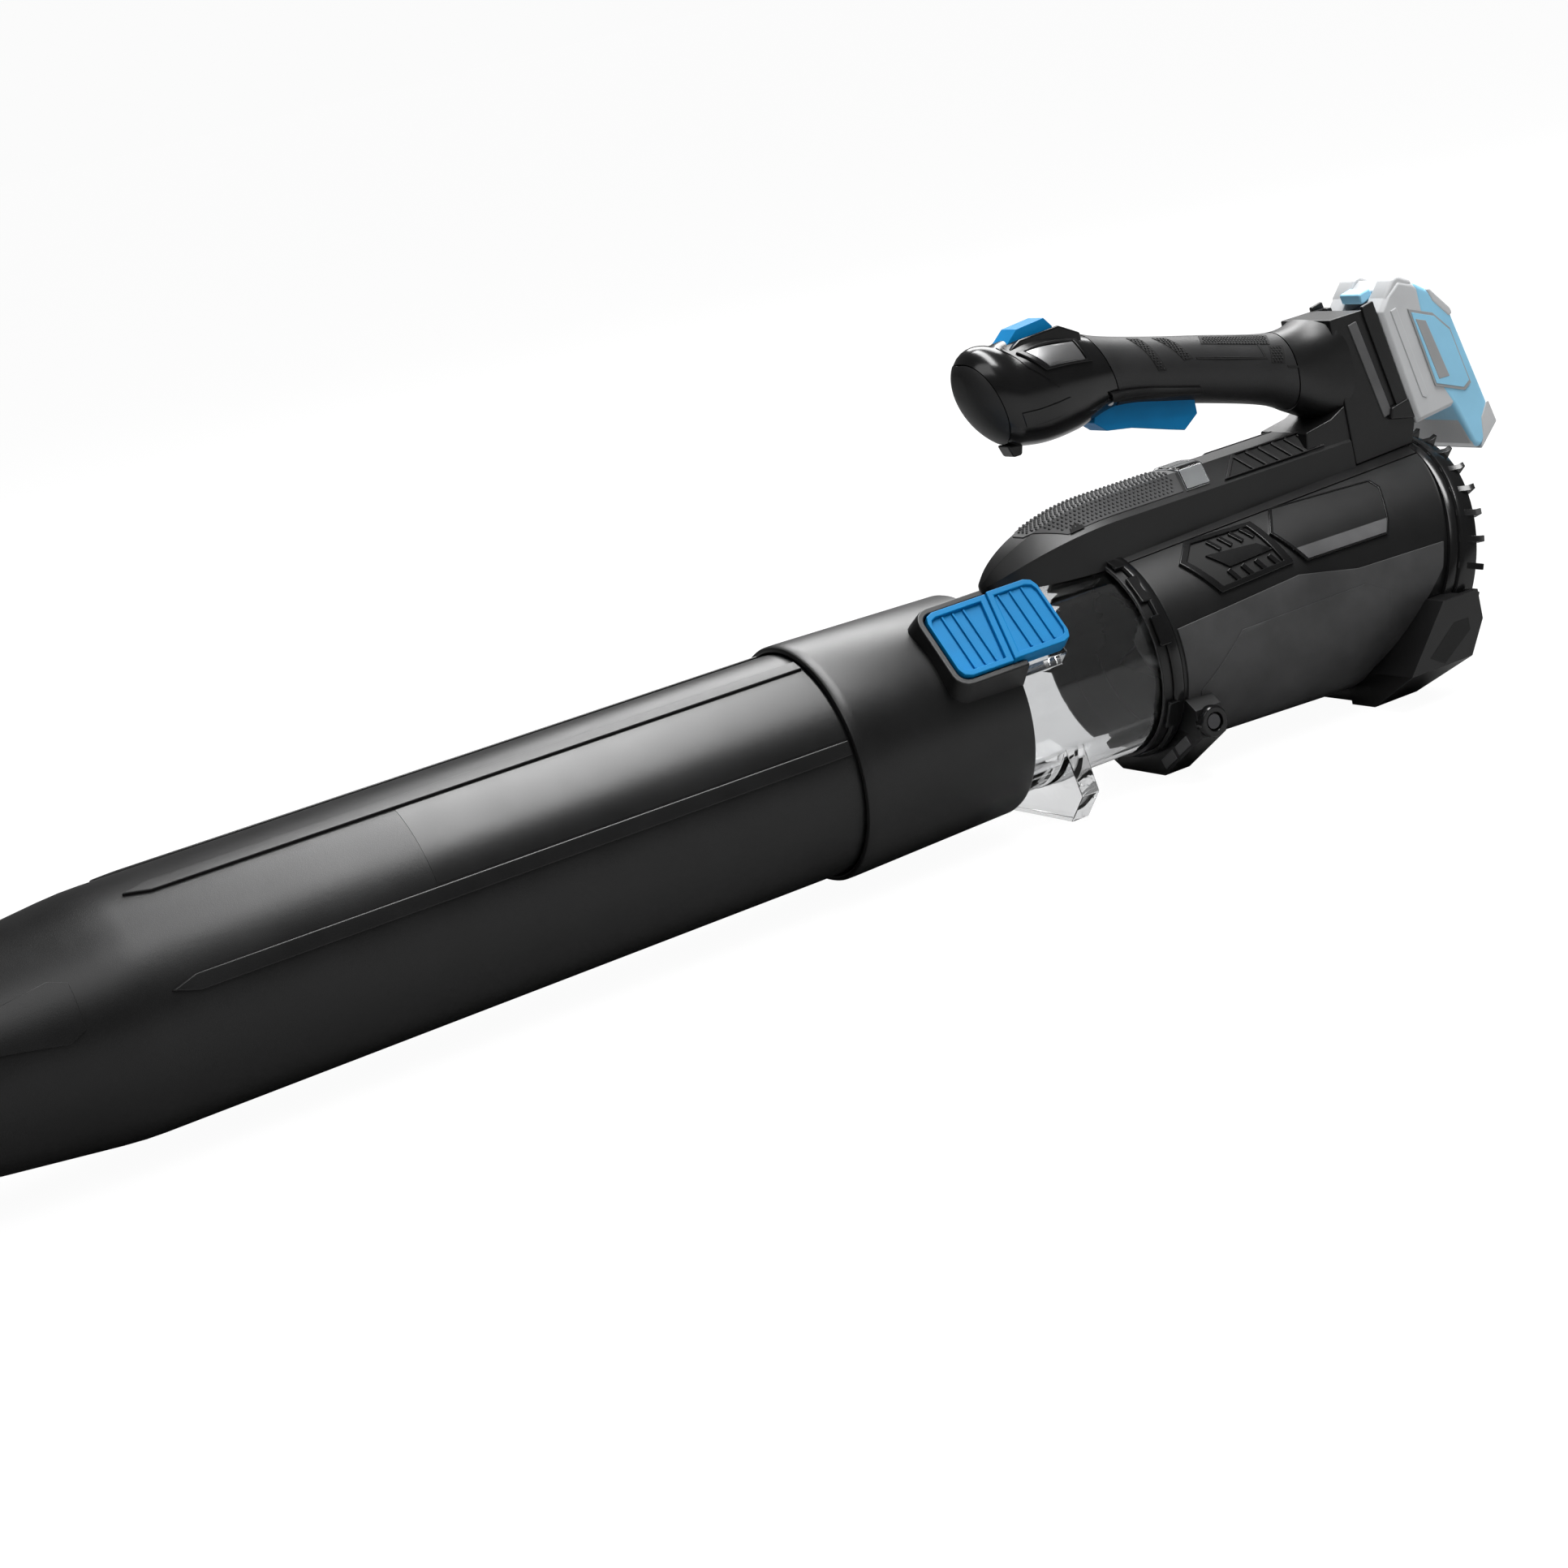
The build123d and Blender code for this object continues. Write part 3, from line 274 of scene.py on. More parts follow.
def handle_at(x, angle, lift):
    """A place on the handle's face at an angle above its left side, or lifted off it."""
    top, bottom, half_width = handle_section(x)
    turn = math.radians(angle)
    half_height = (top - bottom) / 2
    square = 1 - BELL_SQUARENESS * min(1.0, max(0.0, (x - BELL_START) / (BELL_END - BELL_START)))
    across = math.copysign(abs(math.cos(turn)) ** square, math.cos(turn))
    up = math.copysign(abs(math.sin(turn)) ** square, math.sin(turn))
    return at(x, -(half_width + lift) * across, (top + bottom) / 2 + (half_height + lift) * up)


def mirrored(corners):
    """The same outline on the right side, for places given by x and angle."""
    return [(x, 180 - angle) for x, angle in corners]


def both_sides(corners):
    """An outline on the left side and the same one on the right side."""
    return [corners, mirrored(corners)]


def all_on_both_sides(outlines):
    """Several outlines, each on the left side and on the right side."""
    return [outline for corners in outlines for outline in both_sides(corners)]


def other_slope(corners):
    """The same outline on the deck's other slope, for places given by x and distance from the middle."""
    return [(x, -across) for x, across in corners]


def colour(name, description, tone):
    """A colour that the user can change."""
    return bpy.props.FloatVectorProperty(
        name=name, description=description, subtype="COLOR", size=3, min=0, max=1, default=tone
    )


def length(name, description, value):
    """A length that the user can change, given here in millimetres."""
    return bpy.props.FloatProperty(
        name=name, description=description, subtype="DISTANCE", min=0, default=value * MM
    )


class BlowerSizes(bpy.types.PropertyGroup):
    """Sizes of the details on the faces."""

    ridge_height: length("Ridge height", "How far the ridges stand off the tube", 1.4)
    seam_gap: length("Seam gap", "Gap between the stretches of the handle", 0.6)
    guard_bar: length("Guard bar", "Width of the intake guard's rings and spokes", 2.4)
    fin_height: length("Fin height", "How far the guard's fins rise off its rim", 4.4)
    deck_dot_pitch: length("Deck dot pitch", "Distance between the dots on the deck's pad", 2.5)
    grip_dot_pitch: length("Grip dot pitch", "Distance between the dots on the grip", 1.7)


def size(name):
    """A size as it is set, in millimetres."""
    return round(getattr(bpy.context.scene.blower_sizes, name) / MM, 4)


class BlowerColours(bpy.types.PropertyGroup):
    """Colours of the finishes."""

    shell: colour("Shell", "Satin black of the tube and the housing", (0.0065, 0.0065, 0.0067))
    panel: colour("Lower panel", "Dark grey of the lower housing", (0.05, 0.05, 0.051))
    control: colour("Controls", "Blue of the latch, trigger and lever", (0.0012, 0.21, 0.5))
    rubber: colour("Grip", "Soft black of the grip", (0.015, 0.015, 0.0155))
    battery: colour("Battery", "Pale grey of the battery case", (0.6, 0.61, 0.62))
    band: colour("Battery band", "Pale blue of the battery's band", (0.32, 0.68, 0.92))


def colours():
    """The colours as they are set."""
    return bpy.context.scene.blower_colours


def surface(name, tone, roughness, grain, bump, drift=0.25):
    """A plastic finish: a tone that drifts a little, an uneven gloss and a fine moulded grain."""
    known = bpy.data.materials.get(name)
    if known:
        return known
    material = bpy.data.materials.new(name)
    material.use_nodes = True
    tree = material.node_tree
    shader = tree.nodes["Principled BSDF"]
    place = tree.nodes.new("ShaderNodeTexCoord")
    cloud = tree.nodes.new("ShaderNodeTexNoise")
    cloud.inputs["Scale"].default_value = 45
    cloud.inputs["Detail"].default_value = 4
    ramp = tree.nodes.new("ShaderNodeValToRGB")
    ramp.color_ramp.elements[0].position = 0.3
    ramp.color_ramp.elements[1].position = 0.7
    ramp.color_ramp.elements[0].color = (*[c * (1 - drift) for c in tone], 1)
    ramp.color_ramp.elements[1].color = (*[min(1, c * (1 + drift)) for c in tone], 1)
    gloss = tree.nodes.new("ShaderNodeMapRange")
    gloss.inputs["To Min"].default_value = roughness * 0.9
    gloss.inputs["To Max"].default_value = roughness * 1.1
    speck = tree.nodes.new("ShaderNodeTexNoise")
    speck.inputs["Scale"].default_value = grain
    speck.inputs["Detail"].default_value = 2
    relief = tree.nodes.new("ShaderNodeBump")
    relief.inputs["Strength"].default_value = bump
    relief.inputs["Distance"].default_value = 0.0004
    links = tree.links
    links.new(place.outputs["Object"], cloud.inputs["Vector"])
    links.new(place.outputs["Object"], speck.inputs["Vector"])
    links.new(cloud.outputs["Fac"], ramp.inputs["Fac"])
    links.new(ramp.outputs["Color"], shader.inputs["Base Color"])
    links.new(cloud.outputs["Fac"], gloss.inputs["Value"])
    links.new(gloss.outputs["Result"], shader.inputs["Roughness"])
    links.new(speck.outputs["Fac"], relief.inputs["Height"])
    links.new(relief.outputs["Normal"], shader.inputs["Normal"])
    return material


def satin_black():
    return surface("satin_black", colours().shell, 0.36, 2600, 0.12)


def gloss_black():
    return surface("gloss_black", colours().shell, 0.2, 900, 0.02)


def film_black():
    return surface("film_black", colours().shell, 0.34, 3200, 0.05)


# Near-black for holes, slots, grooves and openings: painted shade standing in for depth that is not modelled.
def void_black():
    return surface("void_black", (0.003, 0.003, 0.003), 0.7, 2000, 0.1)


def panel_grey():
    return surface("panel_grey", colours().panel, 0.52, 2600, 0.14)


def strip_grey():
    return surface("strip_grey", [tone * 2 for tone in colours().panel], 0.45, 2600, 0.1)


def soft_grip():
    return surface("soft_grip", colours().rubber, 0.5, 1800, 0.15)


def control_blue():
    material = surface("control_blue", colours().control, 0.5, 1500, 0.05, 0.08)
    material.node_tree.nodes["Principled BSDF"].inputs["Specular IOR Level"].default_value = 0.2
    return material


def battery_grey():
    return surface("battery_grey", colours().battery, 0.42, 1800, 0.06, 0.05)


def label_grey():
    return surface("label_grey", [tone * 0.62 for tone in colours().battery], 0.4, 1800, 0.03, 0.05)


def band_blue():
    return surface("band_blue", colours().band, 0.38, 1500, 0.04, 0.05)


def board_green():
    return surface("board_green", (0.01, 0.09, 0.04), 0.35, 900, 0.05)


def metal(name, tone, roughness):
    """A metal finish with a fine grain."""
    material = surface(name, tone, roughness, 3000, 0.08, 0.1)
    material.node_tree.nodes["Principled BSDF"].inputs["Metallic"].default_value = 1
    return material


def steel():
    return metal("bright_steel", (0.55, 0.56, 0.58), 0.3)


def dark_steel():
    return metal("dark_steel", (0.1, 0.1, 0.105), 0.32)


def silver():
    return metal("silver", (0.4, 0.4, 0.405), 0.36)


def brass():
    return metal("brass", (0.75, 0.55, 0.25), 0.3)


def clear_plastic():
    """Clear moulded plastic with a slightly wavy face."""
    material = surface("clear_moulding", (0.72, 0.725, 0.73), 0.03, 60, 0.02, 0.03)
    shader = material.node_tree.nodes["Principled BSDF"]
    shader.inputs["Transmission Weight"].default_value = 1
    shader.inputs["IOR"].default_value = 1.4
    return material


def piece(mesh, material, body="main", nodes=(), smooth=35):
    """Link a finished mesh, give it its finish and let it ride on its body."""
    mesh.materials.clear()
    mesh.materials.append(material)
    mesh.shade_smooth()
    mesh.set_sharp_from_angle(angle=math.radians(smooth))
    made = bpy.data.objects.new(mesh.name, mesh)
    bpy.context.scene.collection.objects.link(made)
    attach(made, body)
    if nodes:
        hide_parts(*nodes)
    return made


def soften(made, width, segments=3, angle=35):
    """Round the sharp edges of a piece."""
    bevel = made.modifiers.new("soft_edges", "BEVEL")
    bevel.width = width * MM
    bevel.segments = segments
    bevel.limit_method = "ANGLE"
    bevel.angle_limit = math.radians(angle)
    bevel.harden_normals = True
    return made


def merged_copy(node):
    """A copy of a solid's mesh with its loose triangles joined."""
    mesh = frame["nodes"][node].data.copy()
    mesh.name = node + "_skin"
    work = bmesh.new()
    work.from_mesh(mesh)
    bmesh.ops.remove_doubles(work, verts=work.verts, dist=0.00001)
    bmesh.ops.dissolve_limit(work, angle_limit=math.radians(0.6), verts=work.verts, edges=work.edges)
    work.to_mesh(mesh)
    work.free()
    return mesh


def dress(node, material, body="main", smooth=35):
    """Show a solid in its own shape with a finish."""
    return piece(merged_copy(node), material, body, [node], smooth)


def finished(work, name):
    """Turn the faces outward, close the seams and give back a mesh."""
    bmesh.ops.remove_doubles(work, verts=work.verts, dist=0.000002)
    bmesh.ops.recalc_face_normals(work, faces=work.faces)
    mesh = bpy.data.meshes.new(name)
    work.to_mesh(mesh)
    work.free()
    return mesh


def sheet(work, rows, ring=False, cap=False):
    """Faces between rows of points. A ring joins each row's ends, and a cap closes the end rows."""
    grid = [[work.verts.new(point) for point in row] for row in rows]
    count = len(grid[0])
    for low, high in zip(grid, grid[1:]):
        for i in range(count if ring else count - 1):
            j = (i + 1) % count
            work.faces.new((low[i], low[j], high[j], high[i]))
    if cap:
        work.faces.new(grid[0])
        work.faces.new(reversed(grid[-1]))


def spread(low, high, count):
    """Even steps from low to high, with both ends."""
    return [low + (high - low) * i / (count - 1) for i in range(count)]


def lathe(name, outline, place=around, steps=96):
    """Turn a closed outline of (x, radius) points about an axis."""
    work = bmesh.new()
    angles = [360 * i / steps for i in range(steps)]
    rows = [[place(x, angle, radius) for angle in angles] for x, radius in [*outline, outline[0]]]
    sheet(work, rows, ring=True)
    return finished(work, name)


def prism(name, points, low, high, place=on_side):
    """A flat outline given a thickness."""
    work = bmesh.new()
    sheet(work, [[place(u, v, w) for u, v in points] for w in (low, high)], ring=True, cap=True)
    return finished(work, name)


def mirrored_prism(name, points, low, high, place=on_side):
    """The same prism on both sides of the middle plane."""
    work = bmesh.new()
    for side in (-1, 1):
        sheet(work, [[place(u, v, side * w) for u, v in points] for w in (low, high)], ring=True, cap=True)
    return finished(work, name)


def reach(corners, level):
    """The two ends in x of a convex outline at one level."""
    ends = []
    for (x0, v0), (x1, v1) in zip(corners, [*corners[1:], corners[0]]):
        if min(v0, v1) - 1e-6 <= level <= max(v0, v1) + 1e-6:
            if abs(v1 - v0) < 1e-6:
                ends += [x0, x1]
            else:
                ends.append(x0 + (x1 - x0) * (level - v0) / (v1 - v0))
    return min(ends), max(ends)


def wrapped(work, corners, face, lift, depth, step=3.0, columns=9, extra=()):
    """A plate in the outline of convex corners that follows a curved face."""
    marks = sorted({level for x, level in corners} | set(extra))
    levels = [marks[0]]
    for low, high in zip(marks, marks[1:]):
        levels += spread(low, high, max(2, math.ceil((high - low) / step) + 1))[1:]
    rows = []
    for level in levels:
        along = spread(*reach(corners, level), columns)
        outer = [face(x, level, lift) for x in along]
        rows.append(outer + [face(x, level, lift - depth) for x in reversed(along)])
    sheet(work, rows, ring=True, cap=True)


def plates(name, outlines, face, lift, depth, step=3.0, extra=()):
    """One mesh of several plates on a curved face."""
    work = bmesh.new()
    for corners in outlines:
        wrapped(work, corners, face, lift, depth, step, extra=extra)
    return finished(work, name)


def inset(corners, share):
    """An outline drawn in towards its middle."""
    middle_x = sum(x for x, v in corners) / len(corners)
    middle_v = sum(v for x, v in corners) / len(corners)
    return [(x + (middle_x - x) * share, v + (middle_v - v) * share) for x, v in corners]


def rims(name, outlines, face, lift, depth, share):
    """One mesh of raised frames on a curved face, each as wide as a share of its outline."""
    work = bmesh.new()
    for corners in outlines:
        inner = inset(corners, share)
        rows = []
        low = lift - depth
        for outline, height in ((corners, low), (corners, lift), (inner, lift), (inner, low)):
            row = []
            for (x0, v0), (x1, v1) in zip(outline, [*outline[1:], outline[0]]):
                row += [face(x0 + (x1 - x0) * i / 8, v0 + (v1 - v0) * i / 8, height) for i in range(8)]
            rows.append(row)
        sheet(work, [*rows, rows[0]], ring=True)
    return finished(work, name)


def copies_tree():
    """Geometry nodes that set a copy of an item on every point, turned by the point's own turn."""
    known = bpy.data.node_groups.get("copies_on_points")
    if known:
        return known
    tree = bpy.data.node_groups.new("copies_on_points", "GeometryNodeTree")
    tree.interface.new_socket(name="Places", in_out="INPUT", socket_type="NodeSocketGeometry")
    tree.interface.new_socket(name="Item", in_out="INPUT", socket_type="NodeSocketObject")
    tree.interface.new_socket(name="Finish", in_out="INPUT", socket_type="NodeSocketMaterial")
    tree.interface.new_socket(name="Copies", in_out="OUTPUT", socket_type="NodeSocketGeometry")
    entry = tree.nodes.new("NodeGroupInput")
    leave = tree.nodes.new("NodeGroupOutput")
    item = tree.nodes.new("GeometryNodeObjectInfo")
    item.inputs["As Instance"].default_value = True
    turn = tree.nodes.new("GeometryNodeInputNamedAttribute")
    turn.data_type = "FLOAT_VECTOR"
    turn.inputs["Name"].default_value = "turn"
    rotation = tree.nodes.new("FunctionNodeEulerToRotation")
    scatter = tree.nodes.new("GeometryNodeInstanceOnPoints")
    real = tree.nodes.new("GeometryNodeRealizeInstances")
    finish = tree.nodes.new("GeometryNodeSetMaterial")
    tree.links.new(entry.outputs["Places"], scatter.inputs["Points"])
    tree.links.new(entry.outputs["Item"], item.inputs["Object"])
    tree.links.new(item.outputs["Geometry"], scatter.inputs["Instance"])
    tree.links.new(turn.outputs["Attribute"], rotation.inputs["Euler"])
    tree.links.new(rotation.outputs["Rotation"], scatter.inputs["Rotation"])
    tree.links.new(scatter.outputs["Instances"], real.inputs["Geometry"])
    tree.links.new(real.outputs["Geometry"], finish.inputs["Geometry"])
    tree.links.new(entry.outputs["Finish"], finish.inputs["Material"])
    tree.links.new(finish.outputs["Geometry"], leave.inputs["Copies"])
    return tree


def copies(name, item_mesh, spots, material):
    """One mesh with a copy of an item at every spot."""
    scene = bpy.context.scene
    places = bpy.data.meshes.new(name + "_places")
    places.from_pydata([spot.to_translation() for spot in spots], [], [])
    turns = places.attributes.new("turn", "FLOAT_VECTOR", "POINT")
    for value, spot in zip(turns.data, spots):
        value.vector = spot.to_euler()
    item = bpy.data.objects.new(name + "_item", item_mesh)
    base = bpy.data.objects.new(name + "_base", places)
    scene.collection.objects.link(item)
    scene.collection.objects.link(base)
    tree = copies_tree()
    modifier = base.modifiers.new("copies", "NODES")
    modifier.node_group = tree
    sockets = {socket.name: socket.identifier for socket in tree.interface.items_tree}
    modifier[sockets["Item"]] = item
    modifier[sockets["Finish"]] = material
    graph = bpy.context.evaluated_depsgraph_get()
    mesh = bpy.data.meshes.new_from_object(base.evaluated_get(graph))
    mesh.name = name
    for spare in (base, item):
        bpy.data.objects.remove(spare)
    return mesh


def spot_on(face, x, level, spin=0.0, lift=0.0):
    """A spot on a curved face: its up is off the face, and its x runs along the face, spun by an angle."""
    place = face(x, level, lift)
    up = (face(x, level, lift + 1) - place).normalized()
    along = face(x + 0.5, level, lift) - place
    along = (along - up * along.dot(up)).normalized()
    across = up.cross(along)
    turned = Matrix((along, across, up)).transposed() @ Matrix.Rotation(math.radians(spin), 3, "Z")
    return Matrix.Translation(place) @ turned.to_4x4()


def spots_in(corners, face, pitch, level_pitch):
    """Spots in staggered rows inside an outline on a curved face."""
    levels = [level for x, level in corners]
    count = int((max(levels) - min(levels)) / level_pitch)
    spots = []
    for row in range(count):
        level = min(levels) + (row + 0.5) * level_pitch
        low, high = reach(corners, level)
        x = low + pitch * (0.5 if row % 2 else 1)
        while x < high - pitch / 2:
            spots.append(spot_on(face, x, level))
            x += pitch
    return spots


def lifted(spots, lift):
    """The same spots, raised off their face."""
    for spot in spots:
        spot.translation += lift * MM * spot.to_3x3().col[2]
    return spots


def block(name, long, wide, high):
    """A box that stands on its spot."""
    work = bmesh.new()
    bmesh.ops.create_cube(work, size=MM)
    bmesh.ops.scale(work, vec=(long, wide, high), verts=work.verts)
    bmesh.ops.translate(work, vec=(0, 0, high * MM / 2), verts=work.verts)
    return finished(work, name)


def dome(name, radius, height):
    """A small round stud that stands on its spot."""
    work = bmesh.new()
    rows = []
    for share, level in ((1.0, -0.3), (1.0, 0.35), (0.6, 0.9)):
        turns = [math.radians(60 * i) for i in range(6)]
        wide = radius * share * MM
        rows.append([Vector((math.cos(t) * wide, math.sin(t) * wide, level * height * MM)) for t in turns])
    sheet(work, rows, ring=True, cap=True)
    return finished(work, name)


class BLOWER_OT_tube(bpy.types.Operator):
    """Front tube with its ridges and the bare panel between them"""

    bl_idname = "blower.tube"
    bl_label = "Front tube"

    def execute(self, context):
        outer = [
            (TUBE_OVERLAP, TUBE_RADIUS),
            (0.0, TUBE_RADIUS),
            (TUBE_FRONT + 14, TUBE_FRONT_RADIUS - 0.1),
            (TUBE_FRONT + 5, TUBE_FRONT_RADIUS - 0.3),
            (TUBE_FRONT - 5, TUBE_FRONT_RADIUS - 1.1),
            (TUBE_FRONT - 14, TUBE_FRONT_RADIUS - 2.1),
            (NOZZLE_START + 8, NOZZLE_RADIUS + 1.2),
            (NOZZLE_START, NOZZLE_RADIUS + 0.3),
            (NOZZLE_START - 8, NOZZLE_RADIUS),
            (NOZZLE_TIP + 0.6, NOZZLE_RADIUS),
            (NOZZLE_TIP, NOZZLE_RADIUS - 0.6),
        ]
        inner = [(x, radius - TUBE_WALL) for x, radius in reversed(outer[:-1])]
        tip = [(NOZZLE_TIP, NOZZLE_RADIUS - TUBE_WALL)]
        tube = lathe("tube_body", outer + tip + inner, steps=128)
        piece(tube, satin_black(), "tube", ["front_tube"])
        ridges = [self.ridge(angle) for angle in RIDGE_ANGLES]
        height = size("ridge_height")
        made = plates("tube_ridges", ridges, tube_at, height, 2 * height)
        soften(piece(made, satin_black(), "tube"), 0.6)
        gap = RIDGE_HALF + 1.0
        low, high = RIDGE_ANGLES[0] + gap, RIDGE_ANGLES[1] - gap
        film = [(FILM_FRONT, low), (-1.0, low), (-1.0, high), (FILM_FRONT, high)]
        made = plates("tube_films", both_sides(film), tube_at, 0.14, 0.4)
        piece(made, film_black(), "tube")
        pad = [(-432.0, 18.0), (-380.0, 8.0), (-372.0, 12.0), (-372.0, 34.0), (-380.0, 38.0), (-432.0, 32.0)]
        made = plates("nozzle_pads", both_sides(pad), tube_at, 0.7, 2.0)
        soften(piece(made, satin_black(), "tube"), 0.5)
        return {"FINISHED"}

    def ridge(self, angle):
        """Outline of a ridge with a pointed front end."""
        low, high = angle - RIDGE_HALF, angle + RIDGE_HALF
        shoulder = RIDGE_FRONT + 12
        return [(-1.0, low), (shoulder, low), (RIDGE_FRONT, angle), (shoulder, high), (-1.0, high)]


class BLOWER_OT_sleeve(bpy.types.Operator):
    """Sleeve behind the tube, with the latch's frame"""

    bl_idname = "blower.sleeve"
    bl_label = "Sleeve"

    def execute(self, context):
        bore = DUCT_RADIUS + 0.5
        front_bore = TUBE_RADIUS + 0.4
        outline = [
            (0.0, front_bore + 0.8),
            (0.0, SLEEVE_RADIUS - 1.4),
            (0.5, SLEEVE_RADIUS - 0.5),
            (1.6, SLEEVE_RADIUS),
            (6.0, SLEEVE_RADIUS),
            (SLEEVE_LENGTH - 2.0, SLEEVE_REAR_RADIUS),
            (SLEEVE_LENGTH - 0.6, SLEEVE_REAR_RADIUS - 0.5),
            (SLEEVE_LENGTH, SLEEVE_REAR_RADIUS - 1.6),
            (SLEEVE_LENGTH, bore),
            (TUBE_OVERLAP + 0.5, bore),
            (TUBE_OVERLAP + 0.5, front_bore),
            (0.8, front_bore),
        ]
        sleeve = lathe("sleeve_body", outline, steps=128)
        piece(sleeve, satin_black(), "tube", ["rear_sleeve"])
        soften(piece(self.frame(), satin_black(), "tube"), 0.7)
        dress("latch_pin", steel(), "tube")
        return {"FINISHED"}

    def frame(self):
        """A three-sided wall round the latch whose outer face slopes down to the sleeve."""
        wall = 3.2
        gap = 0.5
        top = SLEEVE_RADIUS + 5.4
        rear = SLEEVE_LENGTH
        inner = self.turn_back(LATCH_FRONT - gap, LATCH_HALF_WIDTH + gap, 5.0, rear)
        outer = self.turn_back(LATCH_FRONT - gap - wall, LATCH_HALF_WIDTH + gap + wall, 8.0, rear)
        root = self.turn_back(LATCH_FRONT - gap - wall - 2, LATCH_HALF_WIDTH + gap + wall + 2, 9.0, rear)
        low = 48.0
        work = bmesh.new()
        rows = []
        for i in range(len(inner)):
            places = ((root[i], low), (outer[i], top), (inner[i], top), (inner[i], low + 2))
            rows.append([on_latch(x, across, out) for (x, across), out in places])
        sheet(work, rows, ring=True, cap=True)
        return finished(work, "latch_frame")

    def turn_back(self, front, half_width, corner, rear):
        """A path from the rear, round the front and back, with round corners."""
        points = [(rear, -half_width)]
        for middle_across, start in ((-half_width + corner, 270), (half_width - corner, 180)):
            for step in range(5):
                turn = math.radians(start - 90 * step / 4)
                x = front + corner + corner * math.cos(turn)
                points.append((x, middle_across + corner * math.sin(turn)))
        points.append((rear, half_width))
        return points


class BLOWER_OT_latch(bpy.types.Operator):
    """Blue latch rocker with its rim, step and ribs"""

    bl_idname = "blower.latch"
    bl_label = "Latch"

    def execute(self, context):
        middle_low, middle_high = 88.0, 95.0
        half = LATCH_HALF_WIDTH
        corner = [(0.0, 5.0), (1.5, 1.5), (5.0, 0.0)]
        low = [(LATCH_FRONT + x, across - half) for x, across in corner]
        low += [(LATCH_REAR - x, across - half) for x, across in corner[::-1]]
        whole = low + [(x, -across) for x, across in low[::-1]]
        floor = LATCH_BOTTOM + 4.2
        base = prism("latch_base", whole, LATCH_BOTTOM, floor, on_latch)
        soften(piece(base, control_blue(), "latch", ["latch_rocker"]), 0.4)
        rear = [(middle_low, -half)] + whole[3:9] + [(middle_high, half)]
        front = whole[:3] + [(middle_low, -half), (middle_high, half)] + whole[9:]
        rear_floor = LATCH_BOTTOM + 6.4
        made = prism("latch_step", inset(rear, 0.02), floor - 0.5, rear_floor, on_latch)
        soften(piece(made, control_blue(), "latch"), 0.5)
        self.rim("latch_front_rim", front, LATCH_BOTTOM + 6.4)
        self.rim("latch_rear_rim", rear, LATCH_BOTTOM + 8.0)
        self.ribs(floor, rear_floor)
        return {"FINISHED"}

    def rim(self, name, outline, top):
        """A raised edge round one half of the rocker."""
        inner = inset(outline, 0.16)
        work = bmesh.new()
        rows = []
        low = LATCH_BOTTOM + 1
        for points, out in ((outline, low), (outline, top), (inner, top), (inner, low)):
            rows.append([on_latch(x, across, out) for x, across in points])
        sheet(work, [*rows, rows[0]], ring=True)
        made = piece(finished(work, name), control_blue(), "latch")
        soften(made, 0.5)

    def ribs(self, front_floor, rear_floor):
        """Three thin ribs across each half."""
        spots = [spot_on(on_latch, x, 0, lift=front_floor) for x in (69.0, 75.0, 81.0)]
        spots += [spot_on(on_latch, x, 0, lift=rear_floor) for x in (100.0, 106.5, 113.0)]
        item = block("latch_rib_item", 1.0, 31.0, 1.2)
        mesh = copies("latch_ribs", item, spots, control_blue())
        soften(piece(mesh, control_blue(), "latch"), 0.3, 2)


class BLOWER_OT_duct(bpy.types.Operator):
    """Clear duct between the sleeve and the motor barrel"""

    bl_idname = "blower.duct"
    bl_label = "Clear duct"

    def execute(self, context):
        duct = dress("clear_duct", clear_plastic(), "main", 40)
        soften(duct, 0.5, 2, 50)
        lip = [(172.0, 48.8), (172.0, 50.6), (182.8, 50.6), (182.8, 48.8)]
        mesh = lathe("duct_seal", lip)
        soften(piece(mesh, satin_black()), 0.4)
        return {"FINISHED"}


